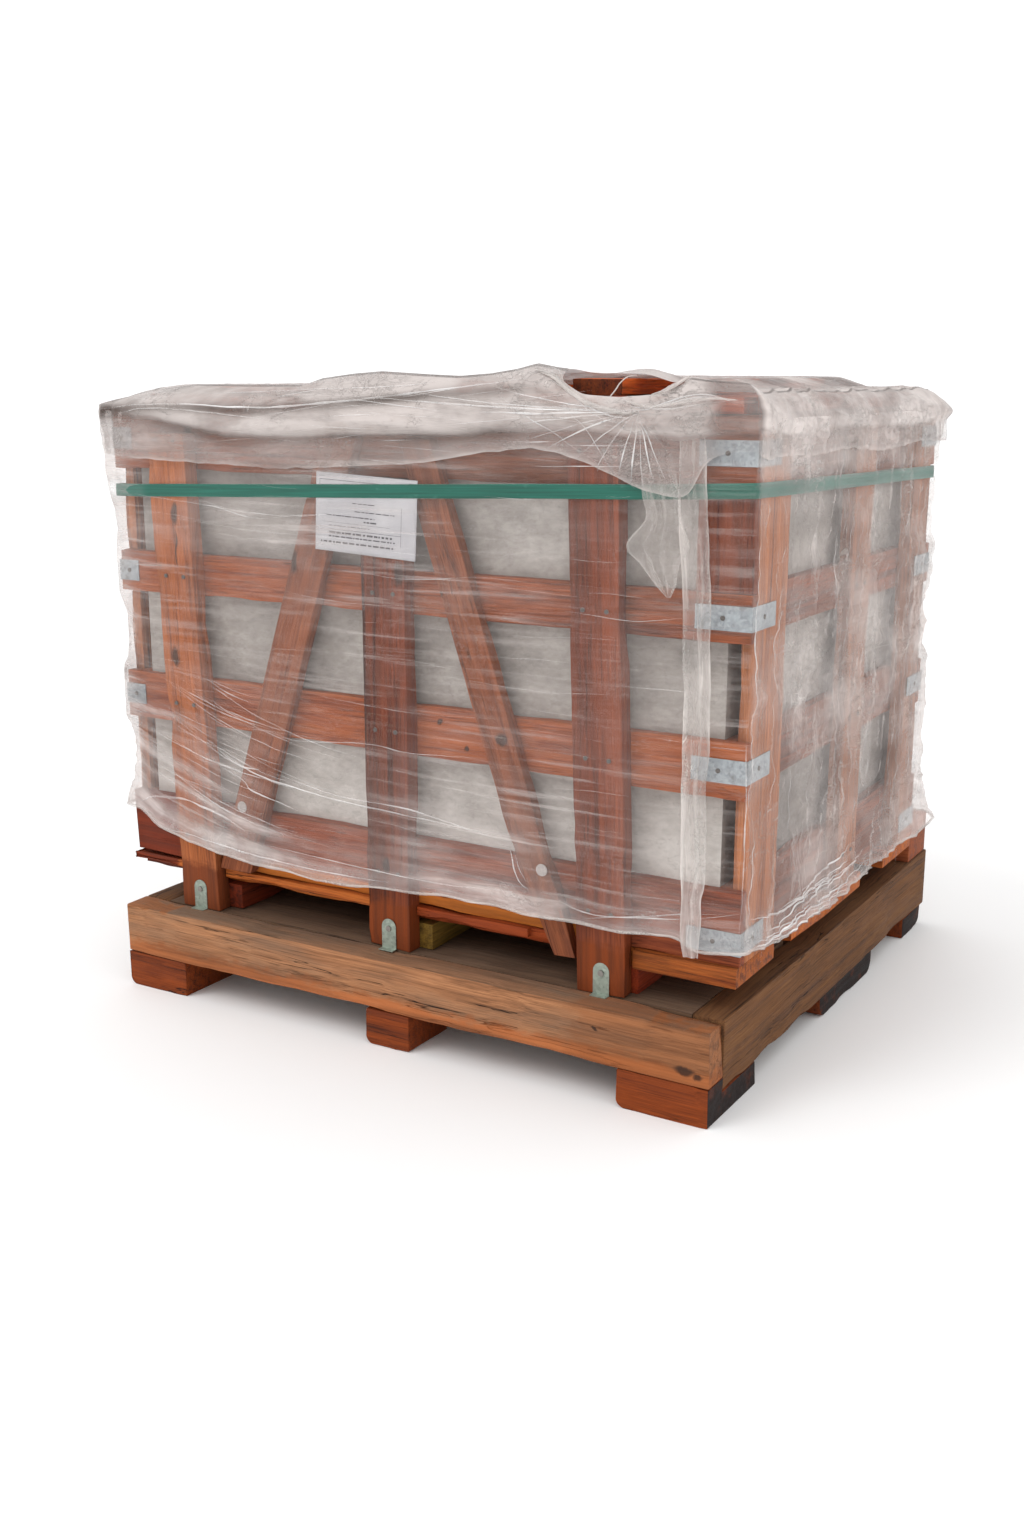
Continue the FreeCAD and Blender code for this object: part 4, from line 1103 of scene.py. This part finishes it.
band = softened(rim_height(BAND, 1.122, 0.016, 3.1, 6.0), 3)
last = softened(rim_height(LAST, 1.078, 0.014, 4.3, 8.0), 3) + 0.003 * ripple(flat_rim, (31, 1, 1), 2.0)
fold = rim_height(FOLD, 1.15, 0.012, 3.7, 5.0)
points, haze, flow = [top_points], [], []
soil, upright = [top_points[:, 0] * 0], [top_points[:, 0] * 0]
top_flat = spots_at(GX, GY)
ledger_near = off_ledgers(GX)
haze.append(0.62 + 0.16 * ripple(top_flat, (3, 4, 1), 1.0) + 0.18 * step(0.08, 0.0, edge_gap)
            - 0.1 * (ledger_near < LEDGER_W / 2))
flow.append(top_flat)
tip = near(rx, gx[0], 0.035) * near(ry, gy[0], 0.05)
for r in range(1, SIDE_ROWS + 1):
    q = r / SIDE_ROWS
    start = rim_points[:, 2]
    split = 0.62
    zz = np.where(q < split, start + (band - start) * (q / split), band + (last - band) * ((q - split) / (1 - split)))
    drop = start - zz
    reach = 1 - np.exp(-drop / 0.02)
    px = rx + (ox - rx) * reach
    py = ry + (oy - ry) * reach
    nx = np.where(on_right, 1.0, np.where(on_left, -1.0, 0.0))
    ny = np.where(on_front, -1.0, np.where(on_rear, 1.0, 0.0))
    at = spots_at(along, zz)
    folds = 0.006 * ridges(spots_at(along, zz + 0.12 * along), (2.3, 26, 1), 4.0)
    folds += 0.0035 * ripple(at, (6.0, 30.0, 1), 7.0) + 0.0022 * ridges(at, (17, 19, 1), 11.0)
    roll = 0.0085 * near(zz, band + 0.012, 0.013) * (0.6 + 0.5 * ripple(at, (4, 1, 1), 14.0))
    above = zz - fold
    tuck = np.where(above > 0, np.exp(-above / 0.016), np.exp(above / 0.003)) * on_front * step(0.34, 0.26, rx)
    roll = roll + 0.0075 * tuck * (0.7 + 0.4 * ripple(at, (5, 1, 1), 17.0))
    pleat = 0.01 * corner * np.sin(along * 210) * step(0.0, 0.03, drop)
    below = step(0.0, 0.012, band - zz)
    out_by = (folds + roll) * (1 - 0.75 * below) * reach + pleat * 0.6
    limp = on_front & (rx > 0.28) & (rx < 0.565)
    out_by = out_by + limp * below * 0.004 * (1 + ripple(at, (28, 10, 1), 3.0))
    px = px + nx * out_by - 0.03 * tip * step(0.0, 0.02, drop) * step(0.09, 0.02, drop)
    py = py + ny * out_by
    points.append(spots_at(px, py, zz))
    value = 0.86 - 0.5 * below + 0.1 * ripple(at, (3, 9, 1), 9.0) + 0.12 * near(zz, band + 0.006, 0.01)
    value = value - 0.08 * limp * below + 0.24 * near(zz, last, 0.005)
    # Painted shade in a line beneath the fold and beneath the band's roll.
    shadow = 0.95 * near(zz, fold - 0.009, 0.009) * step(0.34, 0.26, rx) + 0.8 * near(zz, band - 0.01, 0.012)
    soil.append(on_front * step(0.34, 0.2, rx) * shadow * (0.7 + 0.5 * ripple(at, (5, 12, 1), 19.0)))
    upright.append((on_right | on_left | on_rear) * step(0.0, 0.035, drop))
    value = np.where(on_right, value * (0.98 - 0.12 * step(-0.45, -0.1, ry)), value)
    right_end = on_front * step(0.555, 0.6, rx)
    value = value * (1 - 0.66 * right_end) - 0.1 * right_end * near(zz, last, 0.012)
    haze.append(value)
    flow.append(spots_at(along * 0.9 + 3, zz * 1.1, zz * 0 + 2))
points, haze, flow = np.vstack(points), np.concatenate(haze), np.vstack(flow)
soil, upright = np.clip(np.concatenate(soil), 0, 1), np.concatenate(upright)

faces = grid_faces(TOP_Y, TOP_X)
first = TOP_X * TOP_Y
for c in range(n):
    faces.append((rim[(c + 1) % n], rim[c], first + c, first + (c + 1) % n))
faces += [(first + r * n + (c + 1) % n, first + r * n + c, first + (r + 1) * n + c, first + (r + 1) * n + (c + 1) % n)
          for r in range(SIDE_ROWS - 1) for c in range(n)]
HOLE_LIP = ((HOLE_X[0], 1.2), (0.362, 1.186), (0.388, 1.175), (0.445, 1.172), (0.511, 1.175), (0.532, 1.182),
            (HOLE_X[1], 1.196))


def torn(p):
    """True inside the torn hole in the front edge."""
    if not HOLE_X[0] < p[0] < HOLE_X[1]:
        return False
    f = (p[0] - HOLE_X[0]) / (HOLE_X[1] - HOLE_X[0])
    back = gy[0] + HOLE_BACK * (math.sin(math.pi * f) ** 0.6) + 0.006 * noise.noise(Vector((p[0] * 40, 0, 0)))
    lip = float(table(HOLE_LIP, p[0])) + 0.0015 * noise.noise(Vector((p[0] * 60, 3, 0)))
    return p[1] < back and p[2] > lip


centres = [points[list(f)].mean(axis=0) for f in faces]
faces = [f for f, p in zip(faces, centres) if not torn(p)]
used = sorted({i for f in faces for i in f})
number = {old: new for new, old in enumerate(used)}
faces = [tuple(number[i] for i in f) for f in faces]
points, haze, flow, soil, upright = points[used], haze[used], flow[used], soil[used], upright[used]
sides_of = {}
for f in faces:
    for a, b in zip(f, f[1:] + f[:1]):
        sides_of.setdefault(frozenset((a, b)), []).append((a, b))
links = {}
for pair, seen in sides_of.items():
    a, b = pair
    if len(seen) == 1 and max(points[a][2], points[b][2]) > 1.15:
        links.setdefault(a, []).append(b)
        links.setdefault(b, []).append(a)
for _ in range(5):
    moved = {a: (points[a] * 2 + points[b[0]] + points[b[1]]) / 4 for a, b in links.items() if len(b) == 2}
    for a, p in moved.items():
        points[a] = p
for a in links:
    haze[a] = 0.95
cover = built("cover_sheet", points, faces, COVER_FILM, "lid", haze=np.clip(haze, 0.05, 0.97), flow=flow, soil=soil,
              upright=upright)
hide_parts("top_cover")


def on_cover(x, z, lift=0.0):
    """A point just outside the cover's front at x and height z."""
    ridge = float(table(RIDGE, x)) + ledger_high.z
    reach = 1 - math.exp(-max(ridge - z, 0.0) / 0.02)
    y = float(gy[0] + (front_y(x, COVER_GAP) - gy[0]) * reach)
    return (x, y - 0.006 - lift, z)


def cover_line(spots, lift=0.0, spacing=0.005):
    return through([on_cover(x, z, lift) for x, z in spots], spacing)


def cover_roll(name, spots, radius, haze_value, lift=0.002, seed=0.0):
    path = cover_line(spots, lift)
    ends = np.minimum(np.arange(len(path)), np.arange(len(path))[::-1]) / 6
    roll = tube(name, path, radius * (0.35 + 0.65 * np.clip(ends, 0, 1)), "lid", haze_value, seed=seed, lumpy=0.5)


ROLL_LEFT = mm(290, 1213, 324, 1204, 356, 1186, 392, 1166, 430, 1154, 467, 1147, 488, 1150)
ROLL_RIGHT = mm(466, 1166, 497, 1158, 530, 1160, 565, 1166, 600, 1170, 640, 1168)
ROLL_END = mm(505, 1175, 522, 1180, 540, 1192, 553, 1203)
cover_roll("cover_roll_left", ROLL_LEFT, 0.0036, 0.55, 0.002, 1.0)
cover_roll("cover_roll_right", ROLL_RIGHT, 0.0026, 0.45, 0.002, 3.0)
cover_roll("cover_roll_end", ROLL_END, 0.0036, 0.6, 0.001, 5.0)

strand_path = through([(0.44, gy[0] + 0.04, 1.2035), (0.438, gy[0] + 0.01, 1.202), (0.434, gy[0] - 0.008, 1.193),
                       (0.43, gy[0] - 0.018, 1.181), (0.424, gy[0] - 0.026, 1.17)], 0.004)
strand = tube("cover_strand", strand_path, 0.0011, "lid", 0.95, sides=6, lumpy=0.2)


# ---------------------------------------------------------------- crumpled flap under the tear

FLAP_PATH = mm(522, 1092, 524, 1050, 528, 1020, 532, 985, 524, 945, 528, 915, 538, 885, 543, 864)
FLAP_WIDTHS = (0.04, 0.052, 0.058, 0.056, 0.1, 0.062, 0.034, 0.006)
flap = ribbon("cover_flap", FLAP_PATH, FLAP_WIDTHS, 3.4, 0.006, "lid", 0.3, 0.07, 47.0, lift=0.005, columns=25)


# ---------------------------------------------------------------- crease lines in the film, near-white as painted highlights

CORNER = rail_high.x + FILM_GAP


def film_place(s):
    """Where the film lies s along the front and on round the near right corner, and which way it faces."""
    if s <= CORNER:
        return s, float(front_y(s)), 0.0, -1.0
    return CORNER, rail_low.y - FILM_GAP + s - CORNER, 1.0, 0.0


def creases(name, lines, under, body):
    """Fine raised folds on the sheet under them, near-white as painted highlights on real creases: each is a list of
    (s, z), a width in millimetres and how white.
    """
    sheet = BVHTree.FromPolygons([v.co for v in under.data.vertices], [p.vertices for p in under.data.polygons])
    points, faces, haze, flow = [], [], [], []
    for number, (spots, width, white) in enumerate(lines):
        run = through(spots, 0.006)
        for k, (x, z) in enumerate(run):
            f = k / (len(run) - 1)
            thick = width * MM * (math.sin(math.pi * min(max(f, 0.02), 0.98)) ** 0.5)
            thick *= 0.75 + 0.6 * noise.noise(Vector((x * 30, z * 30, number)))
            z += 0.0012 * noise.noise(Vector((x * 22, z * 22, number + 0.5)))
            px, py, nx, ny = film_place(x)
            hit = sheet.ray_cast(Vector((px + nx * 0.1, py + ny * 0.1, z)), Vector((-nx, -ny, 0)), 0.14)[0]
            if hit:
                px, py = hit.x, hit.y
            steep = abs(run[-1][1] - run[0][1]) > abs(run[-1][0] - run[0][0])
            for side, out in mm(-500, 0, 0, 500, 500, 0):
                slide, rise = (side * thick, 0.0) if steep else (0.0, side * thick)
                away = 0.0012 + out * thick
                points.append((px + nx * away - ny * slide, py + ny * away + nx * slide, z + rise))
            fade = 0.55 + 0.45 * noise.noise(Vector((x * 14, z * 14, number + 3)))
            haze += [white * max(0.1, fade) * (0.4 + 0.6 * math.sin(math.pi * f))] * 3
            flow += [(x, z * 2, number)] * 3
        start = len(points) - 3 * len(run)
        faces += [tuple(start + i for i in f) for f in grid_faces(len(run), 3)]
    obj = built(name, points, faces, CREASE_HIGHLIGHT_FILM, body, haze=haze, flow=flow)
    return obj


folds = random.Random(23)
lines = []
# Folds that leave the near left corner, run down to the right and lie along the hem.
for i in range(26):
    start_x = folds.uniform(-0.6, -0.42)
    start_z = folds.uniform(0.44, 0.66)
    fall = folds.uniform(0.26, 0.46)
    length = folds.uniform(0.1, 0.42)
    lines.append(([(start_x, start_z), (start_x + length * 0.35, start_z - fall * length * 0.42),
                   (start_x + length * 0.7, start_z - fall * length * 0.68),
                   (start_x + length, start_z - fall * length * 0.8)],
                  folds.uniform(1.0, 3.2), folds.uniform(0.25, 0.6)))
lines += [
    (mm(-515, 561, -404, 500, -353, 482, -286, 463, -119, 443, 46, 435, 208, 428), 4.5, 0.55),
    (mm(-282, 478, -119, 452, 46, 446, 274, 414), 3.0, 0.45),
    (mm(-362, 550, -282, 556, -204, 545, -53, 558, 48, 552, 209, 562), 2.4, 0.5),
    (mm(-406, 508, -353, 480, -299, 478), 4.0, 0.6),
    (mm(-394, 471, -341, 451, -315, 432, -210, 410), 4.0, 0.6),
    (mm(-627, 367, -578, 386, -490, 392, -399, 372, -330, 345), 6.0, 0.7),
    (mm(-561, 330, -481, 322, -399, 312, -200, 300, 0, 302), 4.0, 0.7),
    (mm(-300, 330, -100, 322, 100, 318, 260, 330), 3.0, 0.6),
    (mm(254, 405, 262, 370, 273, 349, 290, 338), 4.0, 0.8),
    (mm(262, 400, 272, 372, 286, 352), 2.5, 0.6),
    (mm(318, 340, 400, 316, 473, 320, 579, 339, 640, 345), 3.5, 0.7),
    (mm(400, 306, 485, 322, 579, 330, 679, 352), 3.0, 0.65),
    (mm(-424, 981, -322, 963, -195, 960, -100, 968), 3.0, 0.45),
    (mm(-600, 985, -395, 971, -294, 953, -180, 962), 2.4, 0.4),
    (mm(-500, 945, -300, 930, -100, 925, 50, 915), 2.0, 0.35),
    (mm(-100, 870, 50, 862, 200, 874, 330, 868), 2.0, 0.3),
    (mm(-300, 830, -100, 812, 120, 818), 2.0, 0.3),
    (mm(360, 830, 480, 822, 570, 832), 2.0, 0.35),
    (mm(100, 700, 300, 690, 460, 700), 1.6, 0.3),
    (mm(-200, 640, 20, 626, 240, 634), 1.6, 0.3),
]
for i in range(60):
    x0, z0 = folds.uniform(-0.62, 0.5), folds.uniform(0.34, 1.04)
    length = folds.uniform(0.06, 0.26)
    tilt = folds.uniform(-0.1, 0.06)
    lines.append(([(x0, z0), (x0 + length / 2, z0 + tilt * length * 0.5 + folds.uniform(-0.004, 0.004)),
                   (x0 + length, z0 + tilt * length)], folds.uniform(0.6, 1.5), folds.uniform(0.12, 0.34)))
# Long glossy folds that run up the right side's hem, and short ones that stand up its face.
for i in range(20):
    s0 = CORNER + folds.uniform(-0.03, 0.45)
    length = folds.uniform(0.15, 0.5)
    h0 = folds.uniform(0.003, 0.06)
    rise = folds.uniform(-0.008, 0.03)
    spots = []
    for f in (0.0, 0.33, 0.67, 1.0):
        s_at = min(s0 + f * length, CORNER + 0.95)
        base = float(table(HEM_RIGHT, rail_low.y + s_at - CORNER)) if s_at > CORNER else 0.0
        spots.append((s_at, film_low.z + base + h0 + f * rise + folds.uniform(-0.003, 0.003)))
    lines.append((spots, folds.uniform(2.4, 6.0), folds.uniform(0.55, 0.95)))
for i in range(54):
    s0, z0 = CORNER + folds.uniform(0.04, 0.92), folds.uniform(0.34, 1.06)
    length = folds.uniform(0.03, 0.16)
    lean = folds.uniform(-0.25, 0.12) * length
    lines.append(([(s0, z0), (s0 + lean * 0.4 + folds.uniform(-0.004, 0.004), z0 - length / 2),
                   (s0 + lean, z0 - length)], folds.uniform(0.8, 2.4), folds.uniform(0.25, 0.6)))
for away, low, high, white in ((-0.006, 0.3, 0.66, 0.55), (0.004, 0.45, 1.04, 0.45), (0.01, 0.28, 0.52, 0.5),
                               (0.085, 0.36, 0.95, 0.35)):
    lines.append(([(CORNER + away, high), (CORNER + away + 0.004, (low + high) / 2), (CORNER + away, low)], 3.0, white))
creases("wrap_crease_highlights", lines, wrap, "crate")

KNOT = (0.49, 1.15)
lines = []
for spot, bend, width, white in (
    ((-0.054, 1.17), 0.004, 2.2, 0.7), ((0.1, 1.16), 0.003, 2.0, 0.7), ((0.2, 1.146), 0.002, 3.2, 0.8),
    ((0.274, 1.128), -0.002, 2.6, 0.7), ((0.3, 1.106), -0.004, 2.2, 0.6), ((0.33, 1.092), -0.006, 3.2, 0.7),
    ((0.378, 1.072), -0.006, 2.4, 0.6), ((0.414, 1.056), -0.008, 3.0, 0.7), ((0.453, 1.04), -0.006, 2.6, 0.6),
    ((0.48, 1.032), -0.004, 3.2, 0.7), ((0.5, 1.026), 0.002, 2.6, 0.6), ((0.52, 1.03), 0.004, 3.0, 0.7),
    ((0.538, 1.04), 0.004, 2.4, 0.6), ((0.545, 1.08), 0.003, 2.0, 0.5), ((0.22, 1.186), 0.006, 2.4, 0.7),
    ((0.02, 1.18), 0.006, 2.0, 0.6),
):
    middle = ((KNOT[0] + spot[0]) / 2, (KNOT[1] + spot[1]) / 2 - bend)
    lines.append(([KNOT, middle, spot], width * 1.1, min(0.9, white + 0.1)))
for roll, tightness in ((ROLL_LEFT, 0.006), (ROLL_LEFT, -0.005), (ROLL_LEFT, 0.012), (ROLL_RIGHT, 0.006),
                        (ROLL_RIGHT, -0.006), (ROLL_RIGHT, 0.012)):
    lines.append(([(x, z + tightness * math.sin(2.5 * x / 0.1) - 0.3 * abs(tightness)) for x, z in roll], 3.4, 0.6))
lines += [
    (mm(-676, 1143, -565, 1152, -450, 1154, -256, 1150, -54, 1164, 122, 1182, 280, 1200), 4.0, 0.8),
    (mm(-629, 1135, -540, 1146, -459, 1144, -341, 1136, -240, 1128), 3.0, 0.7),
    (mm(-400, 1172, -200, 1180, 0, 1186, 120, 1196), 2.4, 0.6),
    (mm(326, 1185, 367, 1150, 400, 1120, 453, 1050), 2.0, 0.6),
    (mm(240, 1170, 300, 1135, 360, 1105, 430, 1062), 2.0, 0.6),
]
for i in range(34):
    x0, z0 = folds.uniform(-0.6, 0.36), folds.uniform(1.06, 1.17)
    length = folds.uniform(0.05, 0.22)
    tilt = folds.uniform(-0.1, 0.16)
    lines.append(([(x0, z0), (x0 + length / 2, z0 + tilt * length / 2), (x0 + length, z0 + tilt * length)],
                  folds.uniform(0.8, 2.2), folds.uniform(0.3, 0.7)))
cover_crease_highlights = creases("cover_crease_highlights", lines, cover, "lid")


# ---------------------------------------------------------------- stage, light and camera

def aim(location, target):
    return (Vector(target) - Vector(location)).to_track_quat("-Z", "Y").to_euler()


floor_mesh = bpy.data.meshes.new("floor")
HALF_FLOOR = 40.0
floor_mesh.from_pydata([(-HALF_FLOOR, -HALF_FLOOR, 0), (HALF_FLOOR, -HALF_FLOOR, 0), (HALF_FLOOR, HALF_FLOOR, 0),
                        (-HALF_FLOOR, HALF_FLOOR, 0)], [], [(0, 1, 2, 3)])
floor_obj = linked("floor", floor_mesh)
ground = Graph("pale_floor", Roughness=0.9, Base_Color=(0.93, 0.93, 0.93, 1.0))
floor_mesh.materials.append(ground.material)

world = bpy.data.worlds.new("soft_sky")
world.use_nodes = True
sky = world.node_tree.nodes["Background"]
sky.inputs["Color"].default_value = (1.0, 1.0, 1.0, 1.0)
sky.inputs["Strength"].default_value = 1.15
bpy.context.scene.world = world

sun_data = bpy.data.lights.new("soft_sun", "SUN")
sun_data.energy = 0.7
sun_data.angle = math.radians(28)
sun = linked("soft_sun", sun_data)
sun.rotation_euler = aim((-1.6, -2.4, 3.4), (0, 0, 0.2))

camera_data = bpy.data.cameras.new("camera")
camera_data.sensor_width = 36.0
camera_data.lens = 36.91
camera = linked("camera", camera_data)
camera.location = (1.5947, -2.8019, 1.2)
camera.rotation_euler = (math.radians(90 - 13.9), 0, math.radians(30.7))
bpy.context.scene.camera = camera
bpy.context.scene.view_settings.view_transform = "Standard"
